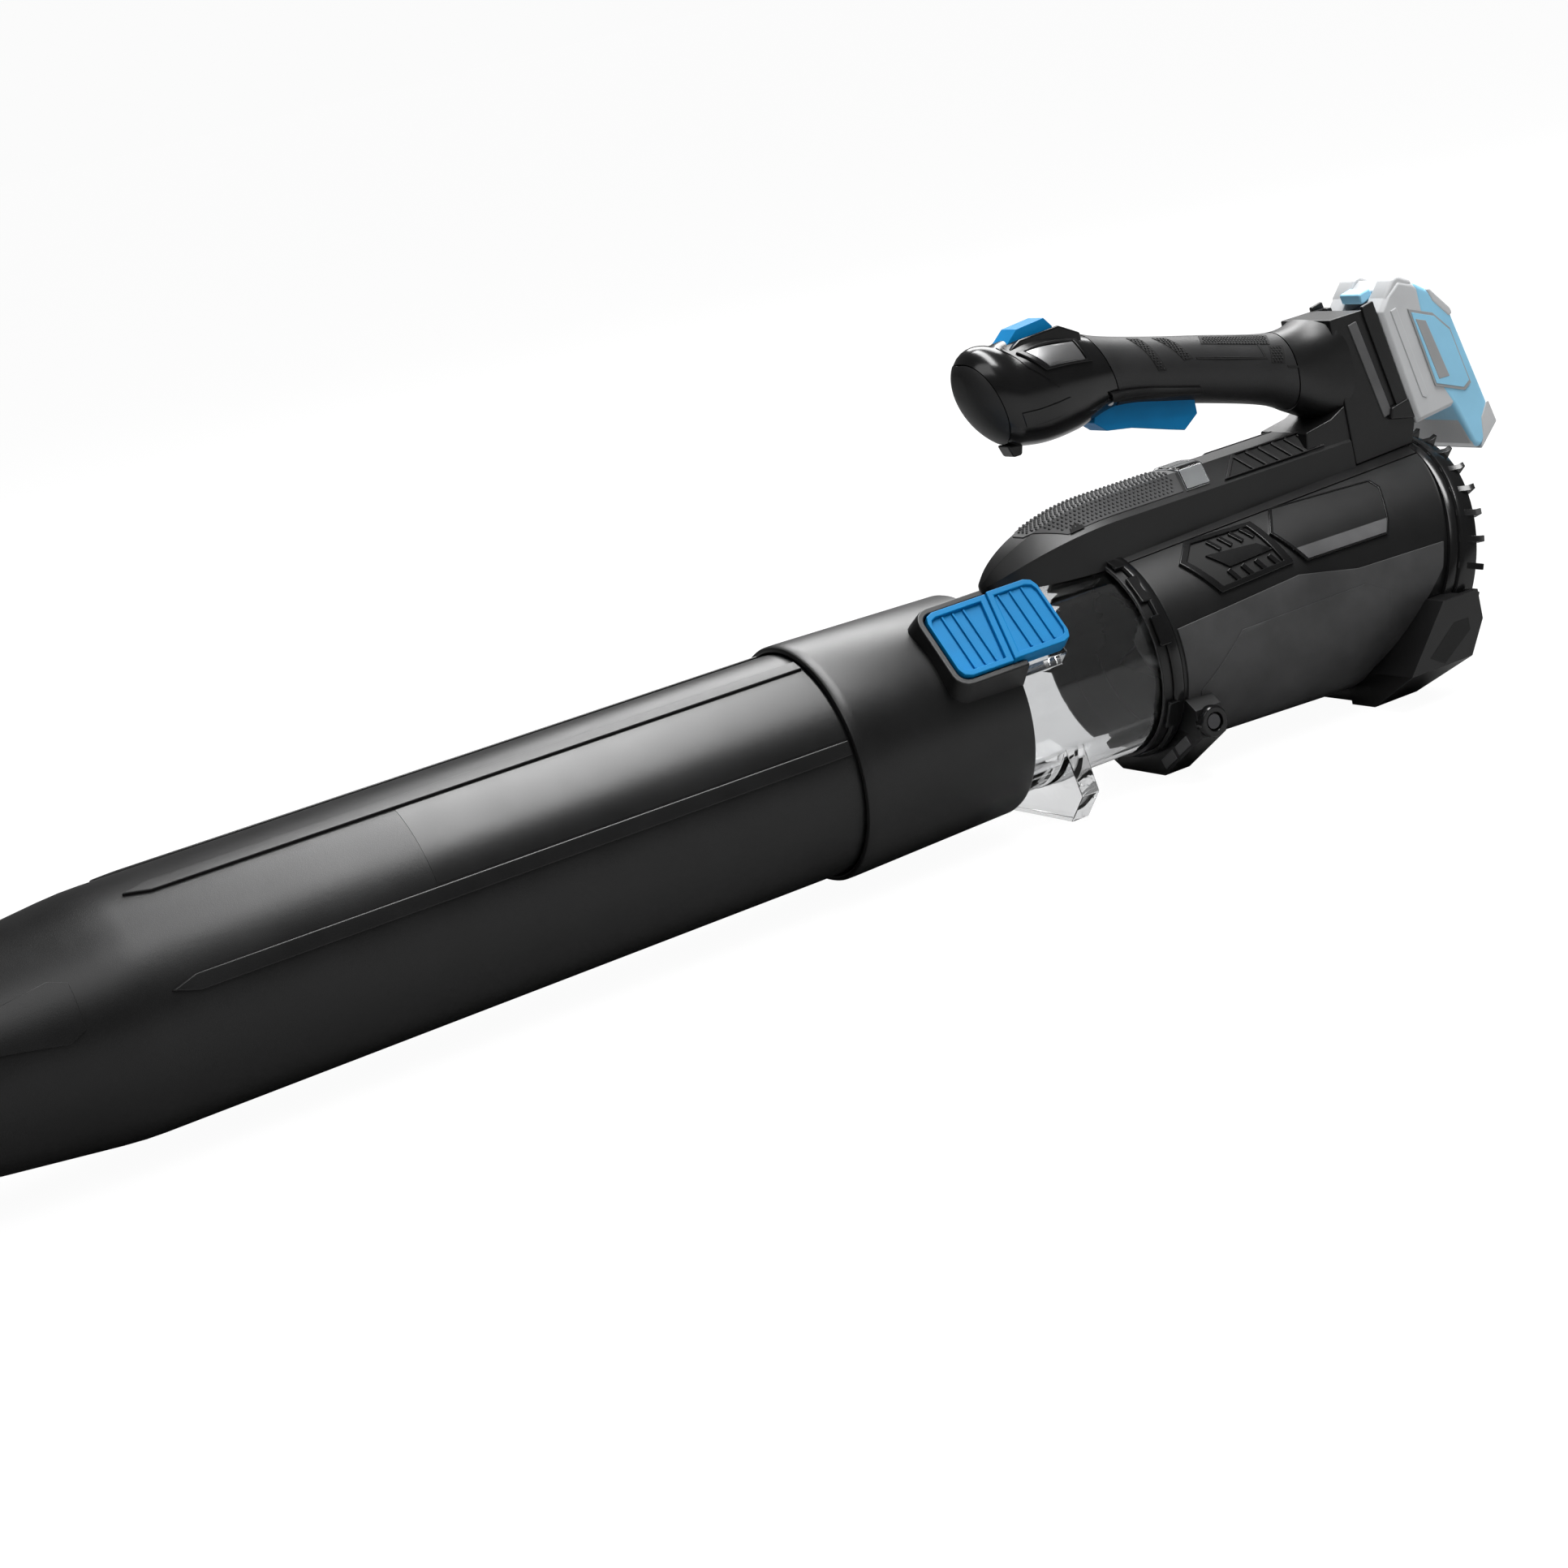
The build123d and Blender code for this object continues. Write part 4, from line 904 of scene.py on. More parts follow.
class BLOWER_OT_barrel(bpy.types.Operator):
    """Motor barrel: its three shells, front ring, side panels, grilles and bare plates"""

    bl_idname = "blower.barrel"
    bl_label = "Motor barrel"

    def execute(self, context):
        gap = 0.35
        seam = SEAM_ANGLE
        self.shell("barrel_upper", seam + gap, 180 - seam - gap, "upper_shell", "black_plastic")
        self.shell("barrel_left", -90 + gap, seam - gap, "lower_shell_left", "grey_plastic")
        self.shell("barrel_right", 180 - seam + gap, 270 - gap, "lower_shell_right", "grey_plastic")
        self.front_ring()
        self.lower_panels()
        self.grilles()
        self.name_plates()
        return {"FINISHED"}

    def shell(self, name, low, high, node, slot):
        """A stretch of the barrel's wall between two angles, ended by the raked plane."""
        work = bmesh.new()
        rows = []
        for angle in spread(low, high, math.ceil((high - low) / 3) + 1):
            end = RAKE_X + BARREL_REAR_RADIUS * math.sin(math.radians(angle)) * math.tan(RAKE)
            along = spread(BARREL_FRONT, end, 24)
            outer = [barrel_at(x, angle, 0) for x in along]
            rows.append(outer + [barrel_at(x, angle, -BARREL_WALL) for x in reversed(along)])
        sheet(work, rows, ring=True, cap=True)
        soften(piece(finished(work, name), satin_black(), "main", [node]), 0.35, 2, 50)

    def front_ring(self):
        """Ring round the barrel's front edge, with notched tabs."""
        outline = [
            (177.0, 49.2),
            (177.0, 51.6),
            (178.0, 52.6),
            (180.4, 52.9),
            (182.4, 52.4),
            (182.9, 51.4),
            (182.9, 49.2),
        ]
        mesh = lathe("barrel_ring", outline)
        soften(piece(mesh, gloss_black()), 0.3)
        spots = [spot_on(ring_at, 176.5, angle) for angle in (-30, 18, 43, 68, 112, 137, 162, 210)]
        item = block("ring_tab_item", 6.0, 15.0, 2.2)
        mesh = copies("ring_tabs", item, spots, gloss_black())
        soften(piece(mesh, gloss_black()), 0.5)

    def lower_panels(self):
        """Matte panels under the ridge on each side, with a shallow pad on each."""
        panel = [
            (185.0, -70.0),
            (310.0, -70.0),
            (322.0, -20.0),
            (340.0, 0.0),
            (344.0, 12.0),
            (292.0, 13.5),
            (259.0, 20.5),
            (185.0, 15.5),
        ]
        mesh = plates("lower_panels", both_sides(panel), barrel_at, 0.9, 1.4)
        soften(piece(mesh, panel_grey(), "main"), 0.6)
        pad = [(192.0, -21.0), (219.0, 4.0), (293.0, 5.0), (307.0, -3.0), (300.0, -58.0), (196.0, -58.0)]
        mesh = plates("lower_pads", both_sides(pad), barrel_at, 1.35, 1.0)
        soften(piece(mesh, panel_grey(), "main"), 0.3)

    def grilles(self):
        """Side grilles: a bed of painted shade for the openings, a raised frame, a slanted middle bar and two
        rows of slats.
        """
        grille = [(214.0, 60.5), (252.0, 57.5), (259.0, 27.0), (215.0, 25.0), (203.0, 48.0)]
        for outline, node in zip(both_sides(grille), ("side_grille_left", "side_grille_right")):
            # The bed is a near-black sheet of painted shade in place of the grille's open depth.
            bed = plates(node + "_bed", [outline], barrel_at, 0.5, 1.0)
            piece(bed, void_black(), nodes=[node])
        mesh = rims("grille_frames", both_sides(grille), barrel_at, 1.9, 2.4, 0.17)
        soften(piece(mesh, gloss_black()), 0.5)
        bar = [(218.0, 47.0), (246.0, 43.5), (252.0, 37.5), (226.0, 36.5)]
        mesh = plates("grille_bars", both_sides(bar), barrel_at, 1.7, 2.0)
        soften(piece(mesh, gloss_black()), 0.4)
        spots = []
        for last, level in ((246.0, 51.5), (250.0, 31.5)):
            for x in spread(226.0, last, 4):
                spots.append(spot_on(barrel_at, x, level, 25))
                spots.append(spot_on(barrel_at, x, 180 - level, -25))
        mesh = copies("grille_slats", block("grille_slat_item", 2.4, 8.0, 1.6), spots, gloss_black())
        soften(piece(mesh, gloss_black()), 0.3)

    def name_plates(self):
        """Bare plates behind the grilles, each with a lighter lower strip, and the bare top strips."""
        plate = [
            (256.0, 46.0),
            (266.0, 61.0),
            (324.0, 55.0),
            (326.0, 49.0),
            (319.0, 31.0),
            (315.0, 24.5),
            (266.0, 25.5),
        ]
        for outline, node in zip(both_sides(plate), ("name_plate_left", "name_plate_right")):
            mesh = plates(node + "_face", [outline], barrel_at, 1.4, 1.8)
            soften(piece(mesh, film_black(), nodes=[node]), 0.5)
        strip = [(262.0, 33.5), (319.5, 32.0), (315.0, 25.5), (267.0, 26.5)]
        mesh = plates("plate_strips", both_sides(strip), barrel_at, 1.6, 0.6)
        piece(mesh, strip_grey(), "main")
        mesh = rims("plate_frames", both_sides(plate), barrel_at, 1.9, 2.0, 0.045)
        soften(piece(mesh, gloss_black()), 0.25)
        top = [(322.0, 80.0), (330.0, 83.0), (362.0, 75.0), (363.0, 70.5)]
        mesh = plates("top_strips", both_sides(top), barrel_at, 0.5, 0.8)
        piece(mesh, strip_grey(), "main")


def ring_at(x, angle, lift):
    """A place on the barrel's front ring."""
    return around(x, angle, RING_SEAT + lift)


class BLOWER_OT_guard(bpy.types.Operator):
    """Rear intake guard: rim, rings, spokes and pointed fins"""

    bl_idname = "blower.guard"
    bl_label = "Intake guard"

    def execute(self, context):
        outer = GUARD_RADIUS
        inner = GUARD_INNER_RADIUS
        depth = GUARD_DEPTH
        outline = [
            (-3.0, 58.6),
            (-3.0, 60.4),
            (-1.4, 61.6),
            (0.2, 61.9),
            (0.8, 61.0),
            (1.4, 61.0),
            (2.2, 62.6),
            (4.0, outer),
            (depth - 1.5, outer - 0.6),
            (depth, outer - 2.2),
            (depth, inner),
            (0.4, inner),
            (0.4, 58.6),
        ]
        mesh = lathe("guard_rim", outline, raked)
        piece(mesh, gloss_black(), nodes=["rear_guard"])
        bar = size("guard_bar")
        pitch = inner / 5
        for ring in range(1, 5):
            radius = ring * pitch
            low, high = radius - bar / 2, radius + bar / 2
            hoop = [(depth - bar, low), (depth - bar, high), (depth, high), (depth, low)]
            name = "guard_ring_%d" % ring
            soften(piece(lathe(name, hoop, raked), satin_black()), 0.5)
        hub = [(depth - bar, 0.01), (depth - bar, pitch / 2), (depth + 0.4, pitch / 2), (depth + 0.4, 0.01)]
        mesh = lathe("guard_hub", hub, raked)
        soften(piece(mesh, satin_black()), 0.5)
        spots = [spot_on(spoke_at, depth - bar, 360 / 16 * turn) for turn in range(16)]
        item = block("guard_spoke_item", bar, bar, inner - pitch / 4)
        mesh = copies("guard_spokes", item, spots, satin_black())
        soften(piece(mesh, satin_black()), 0.4)
        spots = [spot_on(fin_at, depth - 6.0, turn) for turn in range(-36, 217, 12)]
        mesh = copies("guard_fins", self.fin(), spots, gloss_black())
        soften(piece(mesh, gloss_black()), 0.25, 2)
        return {"FINISHED"}

    def fin(self):
        """A fin that rises to a point at its rear end."""
        height = size("fin_height")
        rear, half = 6.0, 1.6
        shape = [(-rear, -1.0), (rear, -1.0), (rear, height), (rear * 2 / 3, height * 0.5)]
        work = bmesh.new()
        rows = [[Vector((u * MM, side * half * MM, v * MM)) for u, v in shape] for side in (-1, 1)]
        sheet(work, rows, ring=True, cap=True)
        return finished(work, "guard_fin_item")


def spoke_at(depth, angle, lift):
    """A place on the guard's spokes, by the distance from the middle."""
    return raked(depth + size("guard_bar") / 2, angle, GUARD_INNER_RADIUS / 20 + lift)


def fin_at(depth, angle, lift):
    """A place on the guard's rim."""
    return raked(depth, angle, GUARD_RADIUS - 0.6 + lift)


def on_leg(along, off, x):
    """A place on the front foot, by the way along its lower edge and off it. Below zero is the right side."""
    side = -1 if along > 0 else 1
    y = LEG_TOE + abs(along) * math.cos(LEG_SLOPE) - off * math.sin(LEG_SLOPE)
    return at(x, side * y, LEG_TOE_Z + abs(along) * math.sin(LEG_SLOPE) + off * math.cos(LEG_SLOPE))


class BLOWER_OT_feet(bpy.types.Operator):
    """Rear foot, front foot and its screws"""

    bl_idname = "blower.feet"
    bl_label = "Feet"

    def execute(self, context):
        soften(dress("rear_foot", satin_black(), smooth=40), 1.0, 3, 25)
        soften(dress("front_foot", satin_black(), smooth=40), 1.0, 3, 25)
        # The slots are thin near-black sheets of painted shade, not real openings.
        slot = [(313.0, -38.0), (331.0, -25.0), (340.0, -25.0), (340.0, -31.0), (321.0, -43.0)]
        mesh = mirrored_prism("foot_slots", slot, 69.2, 70.15)
        piece(mesh, void_black())
        for side, name in ((1, "leg_windows_left"), (-1, "leg_windows_right")):
            work = bmesh.new()
            for start, end in ((4.0, 17.0), (20.0, 33.0)):
                window = [(side * start, 1.8), (side * end, 1.8), (side * end, 7.0), (side * start, 7.0)]
                rows = [[on_leg(u, v, BARREL_FRONT + w) for u, v in window] for w in (-0.5, 0.5)]
                sheet(work, rows, ring=True, cap=True)
            soften(piece(finished(work, name), strip_grey()), 0.3)
        dress("foot_screws", dark_steel(), "main")
        collar = [(53.0, 4.6), (58.4, 4.6), (58.4, 7.0), (57.2, 7.8), (53.0, 7.8)]
        for side, name in ((-1, "screw_collar_left"), (1, "screw_collar_right")):
            mesh = lathe(name, [(side * across, radius) for across, radius in collar], on_screw, 40)
            soften(piece(mesh, gloss_black()), 0.4)
        return {"FINISHED"}


def on_screw(across, angle, radius):
    """A place about the axis of the front foot's screws."""
    turn = math.radians(angle)
    return at(SCREW_X + radius * math.cos(turn), across, SCREW_Z + radius * math.sin(turn))


class BLOWER_OT_deck(bpy.types.Operator):
    """Deck over the barrel, with its dotted pad, light window and vent"""

    bl_idname = "blower.deck"
    bl_label = "Deck"

    def execute(self, context):
        slope = DECK_CREST + (DECK_HALF_WIDTH - DECK_CREST) / math.sqrt(0.5)
        work = bmesh.new()
        rows = []
        shares = [1 - math.cos(math.radians(a)) for a in spread(2, 90, 20)]
        stations = [DECK_TIP + DECK_NOSE * share for share in shares] + spread(192, DECK_REAR, 8)
        levels = (-slope, -DECK_CREASE, 0, DECK_CREASE, slope)
        for x in stations:
            row = [deck_at(x, level, 0) for level in levels]
            bed = DUCT_RADIUS + 0.4 if x < BARREL_FRONT else BARREL_RADIUS - 1
            edge = row[-1].y / MM
            rows.append(row + [at(x, y, math.sqrt(bed ** 2 - y ** 2)) for y in spread(edge, -edge, 7)])
        sheet(work, rows, ring=True, cap=True)
        mesh = finished(work, "deck_body")
        soften(piece(mesh, satin_black(), nodes=["deck_cover"]), 1.2, 3, 28)
        self.pad(slope)
        self.window(slope)
        self.vents(slope)
        return {"FINISHED"}

    def pad(self, slope):
        """Dotted pad over the front of the deck, with a half-round hole of painted shade at its edge."""
        low = slope - DECK_EDGE
        near = [(140.0, 6.0), (158.0, low), (226.0, low), (231.0, 0.0)]
        outline = other_slope(near[:-1]) + near[::-1]
        creases = (-DECK_CREASE, DECK_CREASE)
        mesh = plates("deck_pad_face", [outline], deck_at, 0.5, 1.0, extra=creases)
        soften(piece(mesh, panel_grey(), "main", ["deck_pad"]), 0.3, 2)
        spots = spots_in(inset(outline, 0.05), deck_at, size("deck_dot_pitch"), 2.1)
        item = dome("deck_dot_item", 0.75, 0.6)
        mesh = copies("deck_dots", item, lifted(spots, 0.5), panel_grey())
        piece(mesh, panel_grey(), "main")
        # The holes are near-black plates of painted shade, not real openings.
        turns = [math.radians(angle) for angle in range(0, 181, 30)]
        arc = [(HOLE_X + HOLE_RADIUS * math.cos(t), low + 0.5 - HOLE_RADIUS * math.sin(t)) for t in turns]
        mesh = plates("deck_holes", [other_slope(arc), arc], deck_at, 1.0, 0.4, 1.0)
        piece(mesh, void_black())

    def window(self, slope):
        """Clear light window with a pale bed under it. The pale tone is partly the lamp's own bed and partly
        a painted highlight for the bright window.
        """
        low = slope - DECK_EDGE
        half = [(228.0, low), (242.0, low), (247.0, 0.0), (233.0, 0.0)]
        halves = [(half, DECK_CREASE), (other_slope(half), -DECK_CREASE)]
        # The bed's pale grey is partly the lamp's bed and partly painted highlight seen through the window.
        layers = (
            ("light_bed", 0.3, 0.6, label_grey(), "grey_plastic", []),
            ("light_window", 1.6, 1.2, clear_plastic(), "clear_plastic", ["led_window"]),
        )
        for name, lift, depth, material, slot, nodes in layers:
            work = bmesh.new()
            for corners, crease in halves:
                wrapped(work, corners, deck_at, lift, depth, extra=[crease])
            soften(piece(finished(work, name), material, "main", nodes), 0.25)

    def vents(self, slope):
        """Slanted ribs over a bed of painted shade on each slope, behind the light."""
        low = slope - 2.0
        bed = [(250.0, low), (262.0, 10.0), (316.0, 10.0), (312.0, low)]
        beds = [bed, other_slope(bed)]
        # The beds are near-black sheets of painted shade in place of the vents' open depth.
        mesh = plates("vent_beds", beds, deck_at, 0.3, 0.6)
        piece(mesh, void_black())
        mesh = rims("vent_rims", beds, deck_at, 1.5, 2.0, 0.09)
        soften(piece(mesh, satin_black()), 0.4)
        spots = []
        for x in spread(266.0, 306.0, 6):
            for side in (-1, 1):
                spots.append(spot_on(deck_at, x, side * 16.5, side * -28))
        mesh = copies("vent_ribs", block("vent_rib_item", 2.2, 13.0, 1.3), spots, satin_black())
        soften(piece(mesh, satin_black()), 0.4)


def nose_tip(angle):
    """Where the bumper begins, at any angle."""
    return NOSE_TIP


def bumper_end(angle):
    """Where the bumper ends: further back along the underside."""
    return BUMPER_END - BUMPER_SWEEP * math.sin(math.radians(angle))


def nose_end(angle):
    """Where the nose ends and the grip begins."""
    return NOSE_END - NOSE_SWEEP * math.sin(math.radians(angle))


def grip_end(angle):
    """Where the grip ends, at any angle."""
    return GRIP_END


def bell_end(angle):
    """Where the flared root ends: furthest back at the sides."""
    rise = math.sin(math.radians(angle))
    return BELL_END - BELL_SWEEP_TOP * max(0.0, rise) ** 1.5 - BELL_SWEEP_BOTTOM * max(0.0, -rise) ** 2


class BLOWER_OT_handle(bpy.types.Operator):
    """Handle: nose with its bumper and badge, soft grip and root"""

    bl_idname = "blower.handle"
    bl_label = "Handle"

    def execute(self, context):
        black, rubber = "black_plastic", "grip_rubber"
        halves = ["handle_left", "handle_right"]
        self.stretch("nose_bumper_skin", nose_tip, bumper_end, 0.35, soft_grip(), ["nose_bumper"], black)
        self.stretch("handle_nose", bumper_end, nose_end, 0.0, gloss_black(), halves, black)
        self.stretch("handle_grip", nose_end, grip_end, 0.1, soft_grip(), ["grip_cover"], rubber)
        self.stretch("handle_root", grip_end, bell_end, 0.2, satin_black(), [], black)
        self.badge()
        self.grip_marks()
        self.ledges()
        return {"FINISHED"}

    def stretch(self, name, start, end, lift, material, nodes, slot):
        """A stretch of the handle's wall between two seams."""
        work = bmesh.new()
        rows = []
        for angle in spread(0, 360, 73)[:-1]:
            along = spread(start(angle) + size("seam_gap"), end(angle), 26)
            rows.append([handle_at(x, angle, lift) for x in along])
        columns = [list(column) for column in zip(*rows)]
        sheet(work, columns, ring=True, cap=True)
        return piece(finished(work, name), material, "main", nodes)

    def badge(self):
        """Framed silver badge, a lower pad and a crease on each side of the nose."""
        frame_corners = [(151.5, 51.0), (187.0, 54.0), (189.5, 21.0), (161.5, 20.5)]
        outlines = both_sides(frame_corners)
        mesh = rims("badge_frames", outlines, handle_at, 1.4, 2.4, 0.2)
        soften(piece(mesh, gloss_black()), 0.5)
        mesh = plates("badge_plates", [inset(outline, 0.24) for outline in outlines], handle_at, 0.8, 1.4)
        piece(mesh, silver(), "main")
        pad = [(145.0, -19.5), (171.5, -12.0), (175.0, -27.5), (147.5, -36.0)]
        mesh = plates("nose_pads", both_sides(pad), handle_at, 0.8, 1.4)
        soften(piece(mesh, gloss_black()), 0.5)
        creases = [
            [(146.0, 72.0), (147.2, 72.0), (154.7, 30.0), (153.5, 30.0)],
            [(153.5, 30.0), (154.7, 30.0), (167.2, 1.0), (166.0, 1.0)],
        ]
        mesh = plates("nose_creases", all_on_both_sides(creases), handle_at, 0.35, 0.7)
        piece(mesh, gloss_black())

    def grip_marks(self):
        """Dotted bands and fields on near-black grounds of painted shade, and grooves as strips of painted
        shade, on each side of the grip.
        """
        fields = [
            [(219.0, 70.0), (225.5, 70.0), (231.0, 0.0), (226.5, 0.0)],
            [(233.5, 70.0), (241.5, 70.0), (248.0, 20.5), (242.5, 17.0)],
            [(261.0, 74.0), (300.0, 72.0), (296.0, 45.5), (257.5, 48.5)],
            [(294.5, 41.5), (302.5, 41.0), (299.0, 12.0), (291.5, 12.0)],
        ]
        outlines = all_on_both_sides(fields)
        # The fields' near-black ground is painted shade among the dots.
        mesh = plates("grip_fields", outlines, handle_at, 0.35, 0.8)
        piece(mesh, void_black(), "main")
        spots = []
        for outline in outlines:
            spots += spots_in(inset(outline, 0.04), handle_at, size("grip_dot_pitch"), 4.6)
        item = dome("grip_dot_item", 0.55, 0.5)
        mesh = copies("grip_dots", item, lifted(spots, 0.35), soft_grip())
        piece(mesh, soft_grip(), "main")
        grooves = [
            [(250.0, 21.5), (290.0, 21.0), (290.0, 18.0), (250.0, 18.5)],
            [(288.5, 46.0), (289.8, 46.0), (289.8, 21.0), (288.5, 21.0)],
            [(300.0, 8.0), (306.0, 8.0), (306.0, 5.0), (300.0, 5.0)],
        ]
        # The grooves are raised near-black strips of painted shade, not cut grooves.
        mesh = plates("grip_grooves", all_on_both_sides(grooves), handle_at, 0.3, 0.6)
        piece(mesh, void_black(), "main")

    def ledges(self):
        """Ledges above the trigger and beside the lever, and the stub under the nose."""
        ledge = [(197.0, -25.0), (250.0, -29.0), (251.0, -40.0), (199.0, -41.0)]
        mesh = plates("trigger_ledges", both_sides(ledge), handle_at, 1.7, 2.6)
        soften(piece(mesh, satin_black()), 0.6)
        ledge = [(150.0, 148.0), (150.0, 158.0), (157.0, 161.5), (180.0, 162.5), (191.0, 156.5), (191.0, 148)]
        mesh = mirrored_prism("lever_ledges", ledge, 7.8, 10.8)
        soften(piece(mesh, gloss_black()), 1.0)
        stub = [(142.0, 114.0), (151.0, 113.0), (149.5, 107.6), (144.5, 107.6)]
        mesh = prism("nose_stub", stub, -5.0, 5.0)
        soften(piece(mesh, satin_black()), 1.2)


class BLOWER_OT_controls(bpy.types.Operator):
    """Trigger and thumb lever"""

    bl_idname = "blower.controls"
    bl_label = "Controls"

    def execute(self, context):
        soften(dress("trigger", control_blue(), "trigger"), 2.2, 4, 25)
        soften(dress("speed_lever", control_blue(), "lever"), 2.0, 4, 20)
        return {"FINISHED"}


class BLOWER_OT_dock(bpy.types.Operator):
    """Battery dock with its rails"""

    bl_idname = "blower.dock"
    bl_label = "Battery dock"

    def execute(self, context):
        soften(dress("battery_dock", satin_black(), smooth=40), 0.8, 3, 40)
        side = DOCK_HALF_WIDTH
        rail = [(36.0, -0.6), (36.0, -8.0), (31.0, -8.6), (-23.0, -8.0), (-23.0, -0.6)]
        mesh = mirrored_prism("dock_rails", rail, side - 1, side + 1.6, on_dock)
        soften(piece(mesh, satin_black()), 0.8)
        strip = [(31.0, -13.5), (31.0, -19.0), (-20.0, -17.0), (-20.0, -11.5)]
        mesh = mirrored_prism("dock_strips", strip, side - 1, side + 0.7, on_dock)
        soften(piece(mesh, strip_grey(), "main"), 0.5)
        gusset = [(300.0, 60.0), (303.0, 77.0), (319.0, 79.5), (331.0, 85.0), (336.0, 93.0), (345.0, 60.0)]
        mesh = prism("dock_gusset", gusset, -side + 1.2, side - 1.2)
        soften(piece(mesh, satin_black()), 0.8)
        step = [(-17.0, -0.6), (-17.0, -12.0), (-22.0, -15.0), (-28.0, -0.6)]
        mesh = mirrored_prism("dock_steps", step, side - 1, side + 2.6, on_dock)
        soften(piece(mesh, satin_black()), 0.9)
        return {"FINISHED"}


class BLOWER_OT_battery(bpy.types.Operator):
    """Battery case with its band, corner pads and bare label"""

    bl_idname = "blower.battery"
    bl_label = "Battery"

    def execute(self, context):
        half = BATTERY_HALF_WIDTH
        soften(dress("battery_case", battery_grey(), "battery", 40), 2.0, 4, 30)
        band = [
            (34.4, 24.8),
            (-13.9, 18.0),
            (-35.0, 24.0),
            (-56.0, 27.4),
            (-60.3, 31.0),
            (-51.8, 45.0),
            (12.2, 40.9),
            (26.2, 32.9),
        ]
        mesh = prism("battery_band", band, -half - 0.3, half + 0.3, on_dock)
        soften(piece(mesh, band_blue(), "battery"), 2.6, 4, 25)
        pads = [
            [(27.6, 31.0), (20.4, 32.0), (9.0, 38.5), (9.4, 41.5), (12.6, 41.4), (26.8, 33.3)],
            [(-40.0, 43.0), (-46.0, 37.0), (-56.0, 34.0), (-60.8, 31.0), (-52.0, 45.5), (-40.0, 44.7)],
        ]
        for name, pad in zip(("battery_pad_top", "battery_pad_low"), pads):
            mesh = prism(name, pad, -half - 0.7, half + 0.7, on_dock)
            soften(piece(mesh, battery_grey(), "battery"), 2.4, 3, 25)
        for side, name in ((-1, "battery_bulge_left"), (1, "battery_bulge_right")):
            bulge = [(28.0, 3.0), (34.6, 7.0), (40.4, 15.0), (40.4, 18.5), (35.0, 25.5), (25.0, 23.0)]
            mesh = prism(name, bulge, side * 8.5, side * (half - 0.8), on_dock)
            soften(piece(mesh, battery_grey(), "battery"), 3.0, 4, 25)
        flute = [(27.0, 6.5), (-20.0, 7.5), (-22.0, 9.5), (-20.0, 11.5), (27.0, 10.5)]
        mesh = mirrored_prism("battery_flutes", flute, half - 1, half + 0.6, on_dock)
        soften(piece(mesh, battery_grey(), "battery"), 0.5)
        label = [(23.4, 16.5), (15.1, 29.8), (3.6, 36.8), (-27.1, 38.0), (-29.0, 33.0), (-19.0, 16.9)]
        layers = ((label, 0.9, label_grey()), (inset(label, 0.08), 1.2, band_blue()))
        panel = [(17.0, 18.5), (13.6, 24.0), (-18.0, 26.6), (-16.5, 20.0)]
        layers += ((panel, 1.4, label_grey()),)
        for index, (outline, lift, material) in enumerate(layers):
            name = "battery_label_%d" % index
            mesh = mirrored_prism(name, outline, half - 1, half + lift, on_dock)
            soften(piece(mesh, material, "battery"), 0.25, 2)
        soften(dress("release_button", band_blue(), "release"), 1.2)
        return {"FINISHED"}


class BLOWER_OT_plain(bpy.types.Operator):
    """Inner pieces, which are shown in the shape of their solids"""

    bl_idname = "blower.plain"
    bl_label = "Inner pieces"

    def execute(self, context):
        record = frame["record"]
        slots = {entry["node"]: entry["material_slot"] for entry in record["subparts"]}
        bodies = {node: body for body, nodes in record["behaviour"]["bodies"].items() for node in nodes}
        looks = {
            "black_plastic": satin_black,
            "grey_plastic": panel_grey,
            "steel": steel,
            "fan_plastic": satin_black,
            "board": board_green,
            "cell_metal": steel,
            "terminal_metal": brass,
        }
        inner = (
            "fan_impeller",
            "motor_shaft",
            "motor_pod",
            "front_bearing",
            "rear_bearing",
            "motor_stator",
            "motor_rotor",
            "tail_cone",
            "controller_board",
            "switch_body",
            "trigger_pin",
            "trigger_spring",
            "lever_pin",
            "dock_terminals",
            "battery_cells",
        )
        for node in inner:
            # The tail cone is shown in the pale label grey instead of its slot's finish. This is painted
            # light that lightens the grey seen through the clear duct.
            look = label_grey if node == "tail_cone" else looks[slots[node]]
            dress(node, look(), bodies[node])
        return {"FINISHED"}


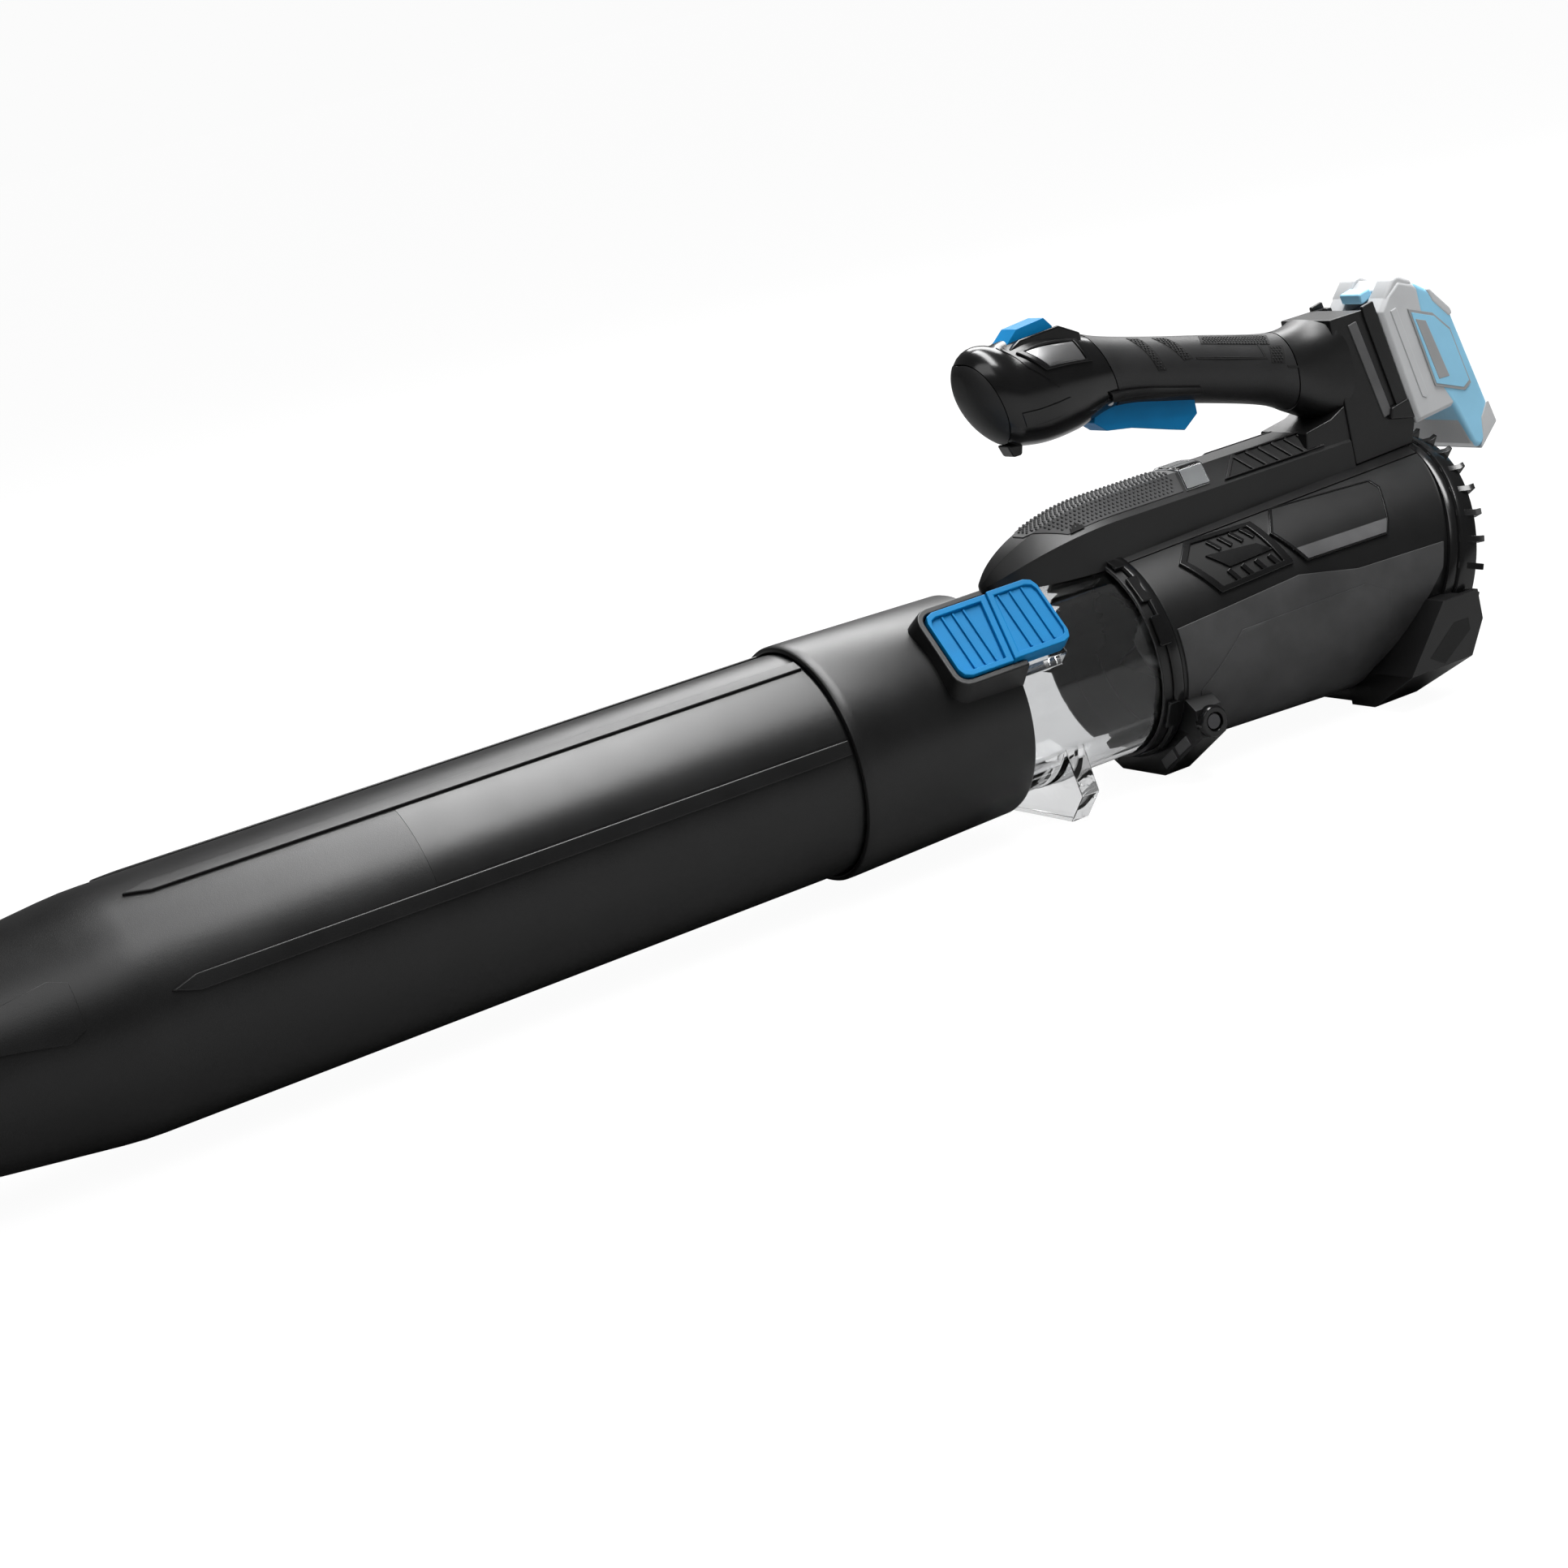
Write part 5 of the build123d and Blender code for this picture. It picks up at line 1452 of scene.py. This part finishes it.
class BLOWER_OT_stage(bpy.types.Operator):
    """Floor, studio light and the camera"""

    bl_idname = "blower.stage"
    bl_label = "Stage"

    def execute(self, context):
        scene = context.scene
        scene.view_settings.view_transform = "Standard"
        self.floor()
        self.world(scene)
        for settings in LAMPS:
            self.lamp(*settings)
        self.camera(scene)
        return {"FINISHED"}

    def floor(self):
        """A pale floor that the camera sees as white, with the object's shadow on it."""
        half = FLOOR_HALF
        mesh = bpy.data.meshes.new("floor")
        corners = [(-half, -half, 0), (half, -half, 0), (half, half, 0), (-half, half, 0)]
        mesh.from_pydata(corners, [], [(0, 1, 2, 3)])
        made = bpy.data.objects.new("floor", mesh)
        bpy.context.scene.collection.objects.link(made)
        material = bpy.data.materials.new("floor_white")
        material.use_nodes = True
        tree = material.node_tree
        shader = tree.nodes["Principled BSDF"]
        shader.inputs["Roughness"].default_value = 0.9
        seen = self.looked_at(tree)
        tone = tree.nodes.new("ShaderNodeMapRange")
        tone.inputs["To Min"].default_value = FLOOR_TONE
        tone.inputs["To Max"].default_value = FLOOR_SEEN_TONE
        glow = tree.nodes.new("ShaderNodeEmission")
        glow.inputs["Strength"].default_value = FLOOR_GLOW
        share = tree.nodes.new("ShaderNodeMath")
        share.operation = "MULTIPLY"
        share.inputs[1].default_value = FLOOR_GLOW_SHARE
        mix = tree.nodes.new("ShaderNodeMixShader")
        tree.links.new(seen, tone.inputs["Value"])
        tree.links.new(tone.outputs["Result"], shader.inputs["Base Color"])
        tree.links.new(seen, share.inputs[0])
        tree.links.new(share.outputs["Value"], mix.inputs["Fac"])
        tree.links.new(shader.outputs["BSDF"], mix.inputs[1])
        tree.links.new(glow.outputs["Emission"], mix.inputs[2])
        tree.links.new(mix.outputs["Shader"], tree.nodes["Material Output"].inputs["Surface"])
        mesh.materials.append(material)
        return made

    def looked_at(self, tree):
        """One where the camera or a clear piece looks, and else zero."""
        path = tree.nodes.new("ShaderNodeLightPath")
        either = tree.nodes.new("ShaderNodeMath")
        either.operation = "MAXIMUM"
        tree.links.new(path.outputs["Is Camera Ray"], either.inputs[0])
        tree.links.new(path.outputs["Is Transmission Ray"], either.inputs[1])
        return either.outputs["Value"]

    def world(self, scene):
        """White where the camera or a clear piece looks out, and dim as a light."""
        world = bpy.data.worlds.new("studio")
        world.use_nodes = True
        scene.world = world
        tree = world.node_tree
        back = tree.nodes["Background"]
        back.inputs["Color"].default_value = (1, 1, 1, 1)
        level = tree.nodes.new("ShaderNodeMapRange")
        level.inputs["To Min"].default_value = WORLD_LIGHT
        level.inputs["To Max"].default_value = WORLD_SEEN
        tree.links.new(self.looked_at(tree), level.inputs["Value"])
        tree.links.new(level.outputs["Result"], back.inputs["Strength"])

    def lamp(self, name, place, target, sides, power):
        """A soft box that points at the object."""
        light = bpy.data.lights.new(name, "AREA")
        light.shape = "RECTANGLE"
        light.size, light.size_y = sides
        light.energy = power
        made = bpy.data.objects.new(name, light)
        made.location = place
        aim = Vector(target) - Vector(place)
        made.rotation_euler = aim.to_track_quat("-Z", "Y").to_euler()
        bpy.context.scene.collection.objects.link(made)

    def camera(self, scene):
        """The camera at the photograph's angle."""
        eye = bpy.data.cameras.new("camera")
        eye.sensor_fit = "HORIZONTAL"
        eye.sensor_width = SENSOR_WIDTH
        eye.lens = SENSOR_WIDTH * FOCAL_PIXELS / PHOTO_PIXELS
        eye.clip_end = 50
        made = bpy.data.objects.new("camera", eye)
        made.location = at(*CAMERA_PLACE)
        made.rotation_euler = Euler([math.radians(turn) for turn in CAMERA_TURN])
        scene.collection.objects.link(made)
        scene.camera = made


class BLOWER_PT_panel(bpy.types.Panel):
    """Lists the sizes, colours and pieces of the leaf blower"""

    bl_label = "Leaf blower"
    bl_idname = "BLOWER_PT_panel"
    bl_space_type = "VIEW_3D"
    bl_region_type = "UI"
    bl_category = "Leaf blower"

    def draw(self, context):
        for name in BlowerSizes.__annotations__:
            self.layout.prop(context.scene.blower_sizes, name)
        for name in BlowerColours.__annotations__:
            self.layout.prop(context.scene.blower_colours, name)
        for operator in OPERATORS:
            self.layout.operator(operator.bl_idname)


OPERATORS = (
    BLOWER_OT_tube,
    BLOWER_OT_sleeve,
    BLOWER_OT_latch,
    BLOWER_OT_duct,
    BLOWER_OT_barrel,
    BLOWER_OT_guard,
    BLOWER_OT_feet,
    BLOWER_OT_deck,
    BLOWER_OT_handle,
    BLOWER_OT_controls,
    BLOWER_OT_dock,
    BLOWER_OT_battery,
    BLOWER_OT_plain,
    BLOWER_OT_stage,
)
CLASSES = (BlowerSizes, BlowerColours, *OPERATORS, BLOWER_PT_panel)


def register():
    for made in CLASSES:
        bpy.utils.register_class(made)
    bpy.types.Scene.blower_sizes = bpy.props.PointerProperty(type=BlowerSizes)
    bpy.types.Scene.blower_colours = bpy.props.PointerProperty(type=BlowerColours)


def unregister():
    del bpy.types.Scene.blower_colours
    del bpy.types.Scene.blower_sizes
    for made in reversed(CLASSES):
        bpy.utils.unregister_class(made)


def main():
    register()
    for operator in OPERATORS:
        group, name = operator.bl_idname.split(".")
        getattr(getattr(bpy.ops, group), name)()


if __name__ == "__main__":
    main()
